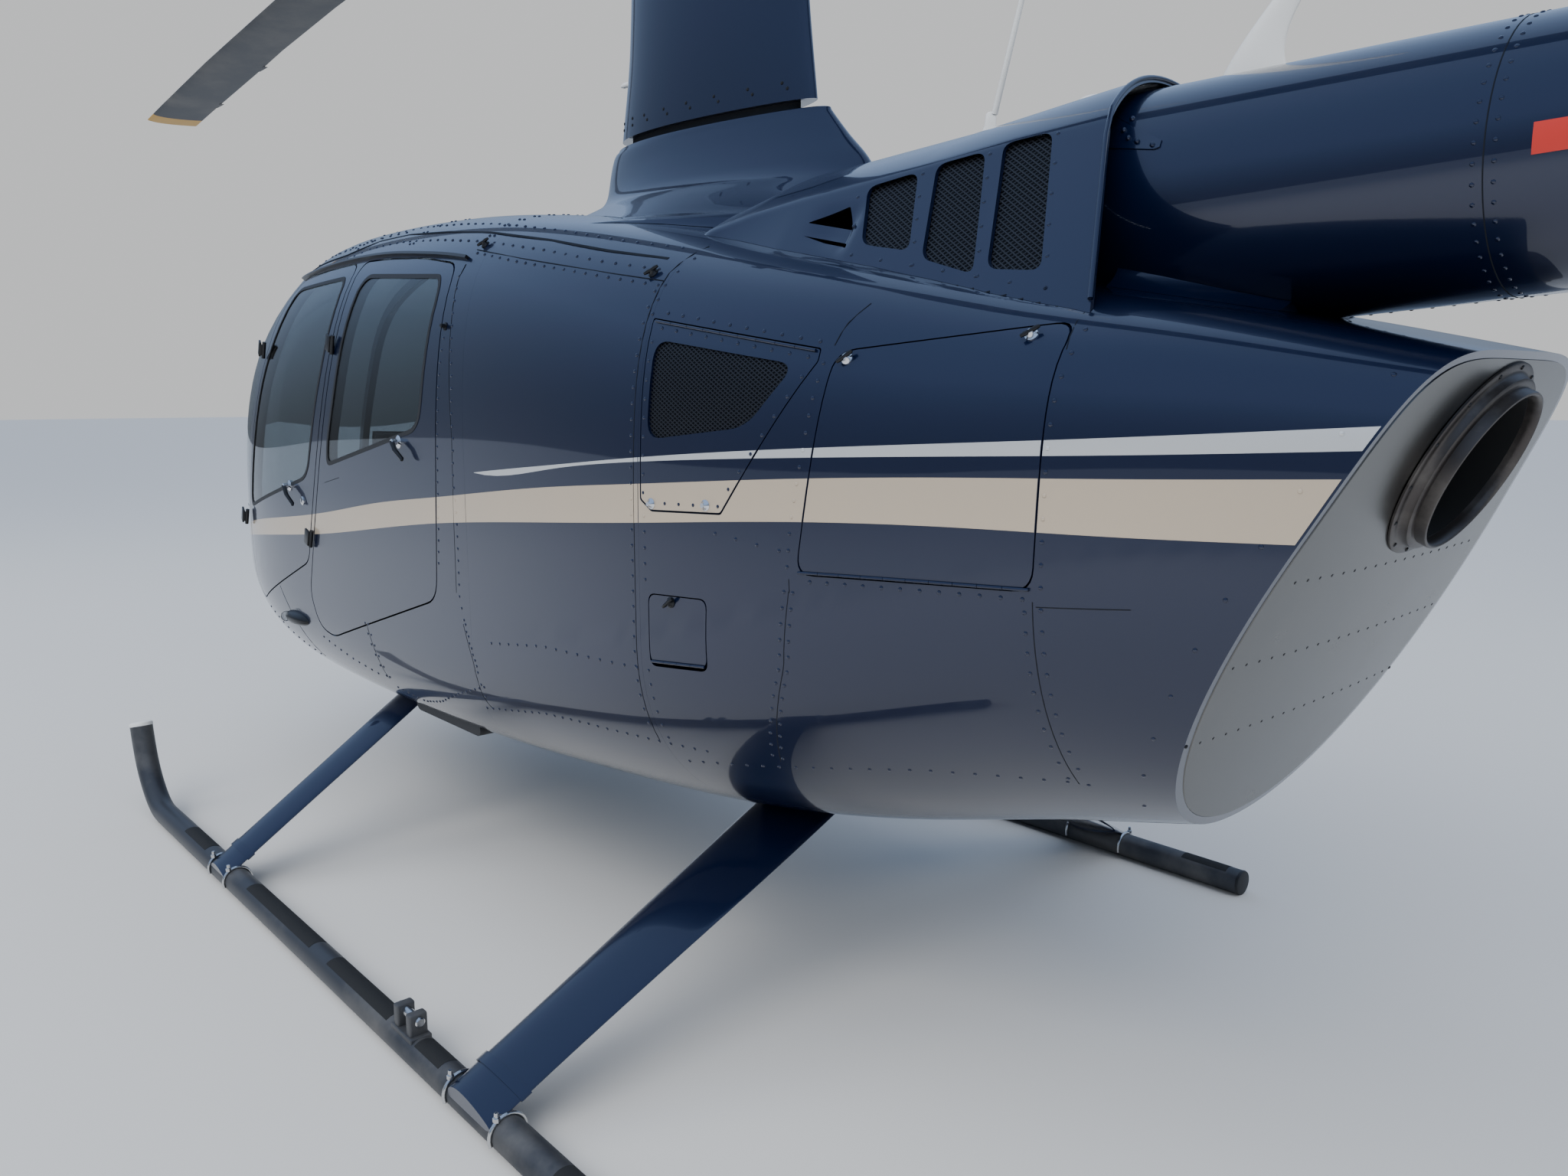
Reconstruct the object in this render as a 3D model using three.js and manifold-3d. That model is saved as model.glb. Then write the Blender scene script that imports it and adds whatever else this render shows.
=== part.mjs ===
// Light five-seat turbine helicopter with a two-blade rotor, parked on its skids.
// Millimetres. x runs forward from the rotor mast, y to the left, z up from the ground;
// the whole group is moved along x at the end, so that the origin is under the middle of its box.
import * as THREE from "three";
import { mergeVertices } from "three/addons/utils/BufferGeometryUtils.js";
import Module from "manifold-3d";

const wasm = await Module();
wasm.setup();

// Gaps
const seam = 0.3; // between fixed pieces that touch
const doorGap = 5; // round a moving panel

// Fuselage pod
const podSides = 32; // points round a section
const doorWall = 38; // thickness of cabin wall and doors
const floorWall = 62;
const cowlWall = 14; // sheet and stiffeners of the engine cowling
const glassThickness = 5;
const cabinBackX = -95; // aft face of the cabin's rear bulkhead
const cabinInsideX = -57;
const engineBayX = -860; // aft face of the middle body
const aftFaceLow = { x: -1910, z: 740 }; // two points of the sloping aft face
const aftFaceHigh = { x: -2320, z: 1590 };
const aftPanelThickness = 12;

// Pod sections: x, half width, lowest z, z of the widest point, highest z, lower power, upper power
const podSections = [
  [2395, 0, 985, 985, 985, 2.3, 2.8],
  [2382, 180, 872, 984, 1112, 2.3, 2.8],
  [2349, 288, 795, 980, 1265, 2.3, 2.8],
  [2289, 396, 712, 972, 1432, 2.3, 2.85],
  [2208, 487, 640, 960, 1597, 2.35, 2.95],
  [2108, 564, 583, 945, 1760, 2.4, 3.05],
  [1955, 638, 532, 925, 1893, 2.5, 3.2],
  [1700, 704, 482, 900, 1995, 2.7, 3.35],
  [1400, 732, 456, 880, 2062, 2.95, 3.7],
  [1100, 736, 449, 865, 2077, 3.1, 4.2],
  [870, 737, 448, 860, 2074, 3.15, 4.55],
  [450, 737, 450, 865, 2060, 3.15, 5.0],
  [0, 737, 457, 885, 2024, 3.05, 5.4],
  [-450, 734, 465, 940, 1963, 2.7, 5.3],
  [-860, 718, 476, 1005, 1892, 2.35, 4.9],
  [-1300, 668, 548, 1125, 1808, 2.2, 4.6],
  [-1650, 607, 638, 1220, 1741, 2.1, 4.5],
  [-1950, 549, 708, 1285, 1684, 2.05, 4.8],
  [-2200, 432, 784, 1312, 1632, 2.05, 4.8],
  [-2500, 262, 874, 1330, 1568, 2.1, 4.6],
];

// Cabin doors and windows, side view outlines as [x, z]. Two more numbers at a corner of a door tell how far
// the door stands in from it, to swing free of the frame
const doorPost = 26; // width of the post between front and rear door
const doorSplit = [
  [748, 1930, 5, -4], [766, 1808, 2], [789, 1711], [824, 1605],
  [872, 1461], [935, 1284], [1020, 1044], [1050, 953],
];
const besidePost = (side) => doorSplit.map(
  ([x, z, dx = 0, dz = 0]) => [x + (side * doorPost) / 2, z, side * dx, dz],
);
const frontDoorOutline = [
  ...besidePost(1), [1640, 746], [1705, 785], [1765, 890], [1780, 1000], [1764, 1070],
  [1522, 1669], [1490, 1770], [1445, 1845], [1340, 1922],
];
const rearDoorOutline = [
  ...besidePost(-1), [1074, 850], [1010, 735], [900, 716], [100, 952], [77, 1190], [52, 1540], [36, 1760],
  [34, 1872], [260, 1904], [500, 1922],
];
const frontWindow = [
  [1030, 1243], [1722, 1090], [1628, 1330], [1538, 1545], [1450, 1708],
  [1340, 1880], [815, 1888], [826, 1790], [880, 1615], [935, 1490],
];
const rearWindow = [
  [852, 1292], [165, 1428], [92, 1790], [106, 1844], [660, 1882], [712, 1740], [790, 1500], [842, 1370],
];
const windscreenBottomZ = 1085;
const windscreenEdge = [
  [1812, windscreenBottomZ], [1712, 1330], [1625, 1545], [1578, 1672],
  [1532, 1785], [1470, 1880], [1400, 1950], [1400, 2300],
];
const windscreenPost = 30; // width of the middle post

// Engine doors, side view outlines; each hinge edge is the first pair of points
const intakeDoorOutline = [
  [-866, 1691], [-1338, 1618], [-1338, 1592], [-1116, 1290], [-905, 1282], [-868, 1305],
];
const intakeWindow = [[-890, 1645], [-1288, 1588], [-1180, 1467], [-890, 1434]];
const cowlDoorOutline = [
  [-1310, 1186], [-1806, 1206, 1], [-1820, 1656, 4], [-1374, 1612],
];
const lowDoorOutline = [[-889, 944], [-1068, 958], [-1074, 1110], [-889, 1102]];

// Hinges: the line they turn about as two points [x, z], how far it lies off the skin, the way to the fixed
// side, the radius of the knuckles, and the parts of the line that have one
const hinges = {
  frontDoor: {
    line: [[1766, 1050], [1516, 1669]], off: 25, fixed: [1, 0], radius: 8,
    knuckles: [[-0.05, 0.05], [0.95, 1.05]],
  },
  rearDoor: {
    line: [[1006, 1040], [784, 1672]], off: 12, fixed: [1, 0], radius: 8,
    knuckles: [[-0.05, 0.05], [0.95, 1.05]],
  },
  intakeDoor: {
    line: [[-878, 1683], [-1328, 1613]], off: 6, fixed: [0, 1], radius: 4,
    knuckles: [[0.03, 0.47], [0.53, 0.97]],
  },
  cowlDoor: {
    line: [[-1318, 1192], [-1800, 1211]], off: 9, fixed: [0, -1], radius: 4,
    knuckles: [[0.04, 0.48], [0.52, 0.96]],
  },
  lowDoor: {
    line: [[-896, 950], [-1062, 963]], off: 6, fixed: [0, -1], radius: 4,
    knuckles: [[0.08, 0.92]],
  },
};

// Upper cowling behind the mast: x, half width and z of its foot, half width and z of the fold over its flat
// side, top z
const upperCowlSections = [
  [-700, 470, 1850, 455, 1868, 1950],
  [-790, 468, 1850, 462, 1893, 2030],
  [-900, 475, 1828, 430, 1921, 2066],
  [-1030, 488, 1800, 394, 1945, 2073],
  [-1300, 483, 1740, 327, 1981, 2094],
  [-1510, 485, 1690, 275, 2013, 2121],
  [-1900, 504, 1600, 215, 2045, 2166],
];
const upperCowlWall = 9;
const upperCowlLip = [[-1642, 2170], [-1818, 1668]]; // slanted aft edge
// Side view outlines of the mesh windows and of the two openings of the scoop
const upperCowlWindows = [
  [[-1199, 1952], [-1310, 1972], [-1376, 1806], [-1252, 1828]],
  [[-1348, 1982], [-1450, 1997], [-1522, 1812], [-1500, 1763], [-1414, 1788]],
  [[-1484, 2008], [-1584, 2018], [-1688, 1748], [-1572, 1758]],
];
const upperCowlScoops = [
  [[-1083, 1887], [-1175, 1914], [-1202, 1862]],
  [[-1087, 1859], [-1212, 1832], [-1214, 1824], [-1150, 1838]],
];
const upperCowlScreens = [[-1186, 1962], [-1310, 1982], [-1640, 2024], [-1704, 1728], [-1186, 1800]];
const screenThickness = 4;

// Mast fairing: z, front x, aft x, half width
const fairingBaseSections = [
  [1860, 640, -1400, 545],
  [1960, 500, -1260, 460],
  [2040, 385, -1040, 335],
  [2090, 335, -925, 228],
  [2150, 297, -830, 160],
  [2246, 268, -728, 122],
];
const fairingSections = [
  [2272, 212, -668, 104],
  [2520, 168, -640, 104],
  [2800, 122, -612, 100],
  [2960, 96, -590, 94],
  [3010, 60, -540, 74],
];

// Tail
const coneFront = { x: -1620, z: 1878, r: 239 };
const coneAft = { x: -5560, z: 2016, r: 94 };
const coneSides = 28;
const coneWall = 5;
const tailRotor = { x: -5870, y: 262, z: 2032, r: 762, chord: 130 };
const gearboxRadius = 78;
const upperFin = { root: [-5360, -5905, 2090], tip: [-5985, -6300, 2900], thick: 42 };
const lowerFin = { root: [-5380, -5850, 1945], tip: [-5720, -6010, 1290], thick: 40 };
const stabilizer = { front: -5330, chord: 420, tipY: -1110, thick: 44 };

// Main rotor
const rotorRadius = 5030;
const hubZ = 3380;
const tipDrop = 280; // how far a parked blade's tip hangs below the hub
const bladeRoot = { start: 260, full: 700, chord: 254 };
const bladeTipChord = 270;
const mastRadius = 38;
const mastBottomZ = 2962;
const topZ = 3480;

// Landing gear
const skidY = 1146;
const skidRadius = 38;
const skidAftX = -1375;
const toeBendX = 1450;
const toe = { x: 1735, z: 320 };
// Struts: x, half width at the belly, z there, foot x, chord at the foot, chord at the belly, thickness
const struts = [
  ["front", 835, 470, 470, 800, 132, 150, 46],
  ["rear", -850, 215, 470, -850, 184, 236, 52],
];

// Colours
const colours = {
  navy: [0x14233f, 0.25, 0.6],
  glass: [0x8fa6b0, 0.05, 0.0],
  steel: [0xb9bcc0, 0.25, 1.0],
  darkSteel: [0x2c2a2a, 0.5, 0.9],
  charcoal: [0x2b2b2d, 0.6, 0.2],
  skid: [0x2a2c30, 0.5, 0.4],
  mesh: [0x101114, 0.6, 0.5],
  white: [0xe6e6e2, 0.35, 0.0],
  leather: [0x3a3430, 0.6, 0.0],
  plastic: [0x1c1c1e, 0.5, 0.0],
  lamp: [0xdfe6ea, 0.1, 0.0],
  red: [0x8c1414, 0.2, 0.0],
};

const helicopter = new THREE.Group();

// Turns a closed geometry into a solid
function solid(geometry) {
  geometry.deleteAttribute("normal");
  geometry.deleteAttribute("uv");
  const merged = mergeVertices(geometry, 1e-3);
  return new wasm.Manifold(
    new wasm.Mesh({
      numProp: 3,
      vertProperties: new Float32Array(merged.attributes.position.array),
      triVerts: new Uint32Array(merged.index.array),
    }),
  );
}

// Adds a solid to the helicopter as a named mesh
function addPiece(name, body, colour) {
  const data = body.getMesh();
  const geometry = new THREE.BufferGeometry();
  geometry.setAttribute("position", new THREE.BufferAttribute(data.vertProperties, 3));
  geometry.setIndex(new THREE.BufferAttribute(data.triVerts, 1));
  geometry.computeVertexNormals();
  const [color, roughness, metalness] = colours[colour];
  const piece = new THREE.Mesh(geometry, new THREE.MeshStandardMaterial({ color, roughness, metalness }));
  piece.name = name;
  helicopter.add(piece);
  return body;
}

// Distance between two points, rounded so that both sides of a symmetric body split alike
function spread(p, q) {
  return Math.round(Math.hypot(p[0] - q[0], p[1] - q[1], p[2] - q[2]) * 100);
}

// Joins rings of points, each ring a list of [x, y, z], into a closed body; a ring of one point is a tip
function loft(rings) {
  const points = [];
  const faces = [];
  const starts = rings.map((ring) => {
    const start = points.length / 3;
    ring.forEach((p) => points.push(...p));
    return start;
  });
  for (let i = 0; i + 1 < rings.length; i++) {
    const [a, b] = [starts[i], starts[i + 1]];
    const [na, nb] = [rings[i].length, rings[i + 1].length];
    for (let j = 0; j < Math.max(na, nb); j++) {
      const k = (j + 1) % Math.max(na, nb);
      if (na === 1) faces.push(a, b + k, b + j);
      else if (nb === 1) faces.push(a + j, a + k, b);
      else if (spread(rings[i][j], rings[i + 1][k]) <= spread(rings[i][k], rings[i + 1][j])) {
        faces.push(a + j, b + k, b + j, a + j, a + k, b + k);
      } else faces.push(a + j, a + k, b + j, a + k, b + k, b + j);
    }
  }
  [0, rings.length - 1].forEach((end) => {
    const [start, n] = [starts[end], rings[end].length];
    if (n < 3) return;
    const middle = points.length / 3;
    const sum = rings[end].reduce((t, p) => t.map((v, i) => v + p[i] / n), [0, 0, 0]);
    points.push(...sum);
    for (let j = 0; j < n; j++) {
      const k = (j + 1) % n;
      if (end === 0) faces.push(middle, start + k, start + j);
      else faces.push(middle, start + j, start + k);
    }
  });
  const geometry = new THREE.BufferGeometry();
  geometry.setAttribute("position", new THREE.Float32BufferAttribute(points, 3));
  geometry.setIndex(faces);
  const made = solid(geometry);
  if (made.volume() > 0) return made;
  geometry.setIndex(faces.map((_, i) => faces[i - (i % 3) + 2 - (i % 3)]));
  return solid(geometry);
}

// Outline moved inwards by a distance, each corner to the meeting point of its moved edges
function inset(outline, distance) {
  const area = outline.reduce((sum, [x, z], i) => {
    const [nx, nz] = outline[(i + 1) % outline.length];
    return sum + (x * nz - nx * z) / 2;
  }, 0);
  const side = Math.sign(area) * distance;
  return outline.map(([x, z], i) => {
    const [px, pz] = outline[(i + outline.length - 1) % outline.length];
    const [nx, nz] = outline[(i + 1) % outline.length];
    const before = new THREE.Vector2(x - px, z - pz).normalize();
    const after = new THREE.Vector2(nx - x, nz - z).normalize();
    const inward = new THREE.Vector2(-before.y - after.y, before.x + after.x).normalize();
    const reach = side / Math.max(0.4, inward.dot(new THREE.Vector2(-before.y, before.x)));
    return [x + inward.x * reach, z + inward.y * reach];
  });
}

// Shape through an outline whose corners are rounded
function roundedShape(outline, radius) {
  const shape = new THREE.Shape();
  outline.forEach(([x, z], i) => {
    const here = new THREE.Vector2(x, z);
    const before = new THREE.Vector2(...outline[(i + outline.length - 1) % outline.length]);
    const after = new THREE.Vector2(...outline[(i + 1) % outline.length]);
    const into = before.sub(here);
    const out = after.sub(here);
    const cut = Math.min(radius, into.length() * 0.45, out.length() * 0.45);
    const start = into.setLength(cut).add(here);
    const end = out.setLength(cut).add(here);
    if (i === 0) shape.moveTo(start.x, start.y);
    else shape.lineTo(start.x, start.y);
    shape.quadraticCurveTo(x, z, end.x, end.y);
  });
  shape.closePath();
  return shape;
}

// Side view outline carried across from y = fromY to y = toY
function sidePrism(outline, fromY, toY, radius = 0) {
  const shape = radius > 0 ? roundedShape(outline, radius) : new THREE.Shape(
    outline.map(([x, z]) => new THREE.Vector2(x, z)),
  );
  const depth = toY - fromY;
  const geometry = new THREE.ExtrudeGeometry(shape, { depth, bevelEnabled: false, curveSegments: 2 });
  geometry.rotateX(Math.PI / 2);
  geometry.translate(0, toY, 0);
  return solid(geometry);
}

function block([x0, y0, z0], [x1, y1, z1]) {
  const geometry = new THREE.BoxGeometry(x1 - x0, y1 - y0, z1 - z0);
  geometry.translate((x0 + x1) / 2, (y0 + y1) / 2, (z0 + z1) / 2);
  return solid(geometry);
}

// Round bar between two points
function rod(from, to, radius, endRadius = radius, sides = 12) {
  const start = new THREE.Vector3(...from);
  const axis = new THREE.Vector3(...to).sub(start);
  const geometry = new THREE.CylinderGeometry(endRadius, radius, axis.length(), sides);
  geometry.translate(0, axis.length() / 2, 0);
  const upright = new THREE.Vector3(0, 1, 0);
  geometry.applyQuaternion(new THREE.Quaternion().setFromUnitVectors(upright, axis.normalize()));
  geometry.translate(...from);
  return solid(geometry);
}

// Tube of round section along a smooth path
function tube(points, radius, steps, sides = 10) {
  const path = new THREE.CatmullRomCurve3(points.map((p) => new THREE.Vector3(...p)), false, "centripetal");
  const ring = new THREE.Shape();
  for (let i = 0; i < sides; i++) {
    const angle = (2 * Math.PI * i) / sides;
    if (i === 0) ring.moveTo(radius, 0);
    else ring.lineTo(radius * Math.cos(angle), radius * Math.sin(angle));
  }
  ring.closePath();
  return solid(new THREE.ExtrudeGeometry(ring, { steps, extrudePath: path, bevelEnabled: false }));
}

// One pod section as a ring; grow moves its skin outwards
function podRing([x, halfWidth, low, widest, top, lowPower, topPower], grow, floorGrow = grow) {
  if (halfWidth === 0) return [[x + grow, 0, widest]];
  const ring = [];
  for (let i = 0; i < podSides; i++) {
    const angle = (2 * Math.PI * i) / podSides;
    const [c, s] = [Math.cos(angle), Math.sin(angle)];
    const power = s > 0 ? topPower : lowPower;
    const height = s > 0 ? top + grow - widest : widest - low + floorGrow;
    ring.push([
      x + (x > 2000 ? grow : 0),
      (halfWidth + grow) * Math.sign(c) * Math.abs(c) ** (2 / power),
      widest + height * Math.sign(s) * Math.abs(s) ** (2 / power),
    ]);
  }
  return ring;
}

function pod(grow, floorGrow = grow) {
  return loft(podSections.map((section) => podRing(section, grow, floorGrow)));
}

// Half width of the pod's skin at a place in the side view
function skinY(x, z) {
  const i = podSections.findIndex((section) => section[0] <= x);
  const [ahead, behind] = [podSections[i - 1], podSections[i]];
  const t = (x - behind[0]) / (ahead[0] - behind[0]);
  const front = podRing(ahead, 0);
  const half = podRing(behind, 0).map(([, y, height], k) => [
    y + t * (front[k][1] - y),
    height + t * (front[k][2] - height),
  ]);
  const k = half.findIndex(([y, height], at) => {
    const next = half[(at + 1) % half.length];
    return y + next[0] > 0 && height <= z && next[1] > z;
  });
  const [from, to] = [half[k], half[(k + 1) % half.length]];
  return from[0] + ((z - from[1]) / (to[1] - from[1])) * (to[0] - from[0]);
}

function mirrored(body) {
  return body.mirror([0, 1, 0]);
}

// A point of a hinge's line, which lies just off the skin
function hingePoint({ line, off }, along) {
  const [x, z] = [0, 1].map((i) => line[0][i] + along * (line[1][i] - line[0][i]));
  const ends = line.map(([px, pz]) => skinY(px, pz));
  return [x, ends[0] + along * (ends[1] - ends[0]) + off, z];
}

// Knuckles of a hinge with the tongues that hold them to the fixed side of the opening
function hingeKnuckles(hinge, opening) {
  const { fixed, radius, knuckles, off } = hinge;
  let made = null;
  for (const [from, to] of knuckles) {
    const [a, b] = [hingePoint(hinge, from), hingePoint(hinge, to)];
    const side = [a, b].map(([x, , z]) => [x, z]);
    const back = [b, a].map(([x, , z]) => [x + fixed[0] * 3 * radius, z + fixed[1] * 3 * radius]);
    const tongue = pod(off * 0.8)
      .subtract(pod(-6))
      .intersect(sidePrism([...side, ...back], 150, 900))
      .subtract(podClear.intersect(opening));
    const knuckle = rod(a, b, radius, radius, 10).add(tongue);
    made = made ? made.add(knuckle) : knuckle;
  }
  return made;
}

// What a door leaves free for the knuckles of its hinge
function hingeGroove(hinge) {
  const ends = 0.02;
  return hinge.knuckles
    .map(([from, to]) => {
      const line = [hingePoint(hinge, from - ends), hingePoint(hinge, to + ends)];
      return rod(...line, hinge.radius + 0.5, hinge.radius + 0.5, 12);
    })
    .reduce((all, one) => all.add(one));
}

// A door's own outline: the opening's, moved in by the gap and by what each corner needs to swing free
function doorOutline(outline) {
  return inset(outline.map(([x, z, dx = 0, dz = 0]) => [x + dx, z + dz]), doorGap);
}

const podSkin = pod(0);
const podClear = pod(seam); // what stands on the pod is cut by this
const cabinZone = block([cabinBackX, -900, 300], [2500, 900, 2300]);
const cabinInside = pod(-doorWall, -floorWall)
  .intersect(block([cabinInsideX, -900, 300], [2500, 900, 2300]));
const cabinWall = podSkin.intersect(cabinZone).subtract(cabinInside);
const paneWall = podSkin.subtract(pod(-glassThickness));

function windscreenCutter(fromY, toY, shrink) {
  const outline = [...windscreenEdge, [2600, 2300], [2600, windscreenBottomZ]];
  return sidePrism(shrink ? inset(outline, shrink) : outline, fromY + shrink, toY - shrink);
}

// Cabin shell with its door and windscreen openings
function cabin() {
  let shell = cabinWall;
  for (const [cut, hinge] of [
    [sidePrism(frontDoorOutline, 120, 900, 60), hinges.frontDoor],
    [sidePrism(rearDoorOutline, 120, 900, 60), hinges.rearDoor],
    [windscreenCutter(windscreenPost / 2, 900, 0), null],
  ]) {
    shell = shell.subtract(cut).subtract(mirrored(cut));
    if (!hinge) continue;
    const knuckles = hingeKnuckles(hinge, cut);
    shell = shell.add(knuckles).add(mirrored(knuckles));
  }
  addPiece("cabin_shell", shell, "navy");
  const pane = paneWall.intersect(windscreenCutter(windscreenPost / 2, 900, seam));
  addPiece("windscreen_left", pane, "glass");
  addPiece("windscreen_right", mirrored(pane), "glass");
}

// The four doors and their panes
function cabinDoors() {
  for (const [place, outline, window, hinge] of [
    ["front", frontDoorOutline, frontWindow, hinges.frontDoor],
    ["rear", rearDoorOutline, rearWindow, hinges.rearDoor],
  ]) {
    const panel = cabinWall
      .subtract(hingeGroove(hinge))
      .intersect(sidePrism(doorOutline(outline), 120, 900, 58))
      .subtract(sidePrism(window, 120, 900, 70));
    const pane = paneWall.intersect(sidePrism(inset(window, seam), 120, 900, 70));
    for (const side of ["left", "right"]) {
      const turn = side === "left" ? (body) => body : mirrored;
      addPiece(`${place}_door_${side}`, turn(panel), "navy");
      addPiece(`${place}_window_${side}`, turn(pane), "glass");
    }
  }
}

// Closed bay behind the cabin, which carries mast, struts and tail
function middleBody() {
  const zone = block([engineBayX, -900, 300], [cabinBackX - seam, 900, 2300]);
  addPiece("middle_body", podSkin.intersect(zone), "navy");
}

// Frame of the sloping aft face: its own x runs out of the face, its y stays y, its z runs up the slope
function onAftFace(body, along, out) {
  const tilt = Math.atan2(aftFaceLow.x - aftFaceHigh.x, aftFaceHigh.z - aftFaceLow.z);
  const up = [-Math.sin(tilt), Math.cos(tilt)];
  const away = [-Math.cos(tilt), -Math.sin(tilt)];
  return body
    .rotate([0, (-tilt * 180) / Math.PI, 0])
    .translate([
      aftFaceLow.x + up[0] * along + away[0] * out,
      0,
      aftFaceLow.z + up[1] * along + away[1] * out,
    ]);
}

// Slab along the aft face, slightly bowed aft in plan; depth is measured inwards from the skin of the face
function aftSlab(depthFrom, depthTo) {
  const bow = 10;
  const halfSpan = 480; // of the bowed part
  const curve = (depth) => {
    const list = [];
    for (let i = 0; i <= 8; i++) {
      const t = i / 4 - 1;
      list.push([bow * (t ** 2 - 0.65) + depth, halfSpan * t]);
    }
    return [[list[0][0], -900], ...list, [list[8][0], 900]];
  };
  const outline = [...curve(depthFrom), ...curve(depthTo).reverse()];
  const shape = new THREE.Shape(outline.map(([x, y]) => new THREE.Vector2(x, y)));
  const reach = 2200; // up and down the slope, past the whole pod
  const geometry = new THREE.ExtrudeGeometry(shape, { depth: 2 * reach, bevelEnabled: false });
  geometry.translate(0, 0, -reach);
  return onAftFace(solid(geometry), 0, 0);
}

const tailCone = coneBody(0, coneWall);
const coneClear = coneBody(seam, 0);

function coneBody(grow, wall) {
  const ends = [coneFront, coneAft];
  const ring = ({ x, z, r }, change) => {
    const list = [];
    for (let i = 0; i < coneSides; i++) {
      const angle = (2 * Math.PI * i) / coneSides;
      list.push([x, (r + change) * Math.cos(angle), z + (r + change) * Math.sin(angle)]);
    }
    return list;
  };
  const outside = loft(ends.map((end) => ring(end, grow)));
  if (!wall) return outside;
  const longer = ends.map((end, i) => ({ ...end, x: end.x + (i ? -1 : 1) }));
  return outside.subtract(loft(longer.map((end) => ring(end, -wall))));
}

const exhaust = { along: 762, radius: 148, wall: 9, inside: 70, outside: 52 };
const flange = { rim: 34, step: 14, from: 6.8, to: 12, stepTo: 28 };

function exhaustBar(radius, inside, outside, sides = 28) {
  const geometry = new THREE.CylinderGeometry(radius, radius, inside + outside, sides);
  geometry.rotateZ(Math.PI / 2);
  geometry.translate((inside - outside) / 2, 0, 0);
  return onAftFace(solid(geometry), exhaust.along, 0);
}

// Engine cowling with its three openings on each side, the aft panel and the exhaust
function engineCowling() {
  const bay = block([-2700, -900, 300], [engineBayX - seam, 900, 2300]);
  const behind = aftSlab(-1500, aftPanelThickness + seam);
  const wall = podSkin.intersect(bay).subtract(pod(-cowlWall));
  const exhaustHole = exhaustBar(exhaust.radius + seam, 200, 100);
  let shell = wall.subtract(behind).subtract(coneClear).subtract(exhaustHole);
  for (const [name, outline, radius, window, hinge] of [
    ["intake_door", intakeDoorOutline, 0, intakeWindow, hinges.intakeDoor],
    ["engine_door", cowlDoorOutline, 40, null, hinges.cowlDoor],
    ["access_door", lowDoorOutline, 22, null, hinges.lowDoor],
  ]) {
    const opening = sidePrism(outline, 150, 900, radius);
    const knuckles = hingeKnuckles(hinge, opening);
    let panel = wall
      .intersect(sidePrism(doorOutline(outline), 150, 900, radius))
      .subtract(hingeGroove(hinge));
    shell = shell.subtract(opening).add(knuckles);
    if (window) panel = panel.subtract(sidePrism(window, 150, 900, 60));
    addPiece(`${name}_left`, panel, "navy");
    if (name === "access_door") continue;
    shell = shell.subtract(mirrored(opening)).add(mirrored(knuckles));
    addPiece(`${name}_right`, mirrored(panel), "navy");
  }
  const meshWall = pod(-2).subtract(pod(-2 - screenThickness));
  const screen = meshWall.intersect(sidePrism(inset(intakeWindow, seam), 150, 900, 60));
  addPiece("intake_screen_left", screen, "mesh");
  addPiece("intake_screen_right", mirrored(screen), "mesh");
  addPiece("engine_cowling", shell, "navy");
  const panel = podSkin.intersect(aftSlab(0, aftPanelThickness)).subtract(coneClear);
  addPiece("aft_panel", panel.subtract(exhaustBar(exhaust.radius + seam, 200, 200)), "steel");
  const pipe = exhaustBar(exhaust.radius, exhaust.inside, exhaust.outside);
  const bore = exhaustBar(exhaust.radius - exhaust.wall, exhaust.inside + 10, exhaust.outside + 10);
  const plate = exhaustBar(exhaust.radius + flange.rim, -flange.from, flange.to);
  const step = exhaustBar(exhaust.radius + flange.step, -flange.from, flange.stepTo);
  const collar = plate.add(step).subtract(exhaustBar(exhaust.radius - 1, 0, 60));
  addPiece("exhaust_pipe", pipe.subtract(bore).add(collar), "darkSteel");
}

// Engine as one block with its drive housing, on the bay's front wall
function engine() {
  const core = block([-1810, -225, 900], [-1120, 225, 1330]);
  const housing = block([-1121, -130, 980], [engineBayX - seam, 130, 1240]);
  addPiece("engine_block", core.add(housing), "darkSteel");
}

function upperCowlRing([x, foot, footZ, fold, foldZ, top], grow) {
  const left = [[foot + grow, footZ]];
  const arcSteps = 6;
  for (let i = 0; i <= arcSteps; i++) {
    const across = 1 - i / arcSteps;
    left.push([(fold + grow) * across, foldZ + (top - foldZ + grow) * (1 - across ** 2)]);
  }
  const right = left.slice(0, -1).reverse().map(([y, z]) => [-y, z]);
  return [...left, ...right].map(([y, z]) => [x, y, z]);
}

// Upper cowling: a shell over the front of the tail cone, with three mesh windows a side and an open aft end
const upperCowlOuter = loft(upperCowlSections.map((section) => upperCowlRing(section, 0)));
const upperCowlEnd = sidePrism(
  [
    upperCowlLip[0], upperCowlLip[1], [upperCowlLip[1][0] - 40, 1500], [-500, 1500], [-500, 2400],
    [-1500, 2400],
  ],
  -900,
  900,
);

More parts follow.
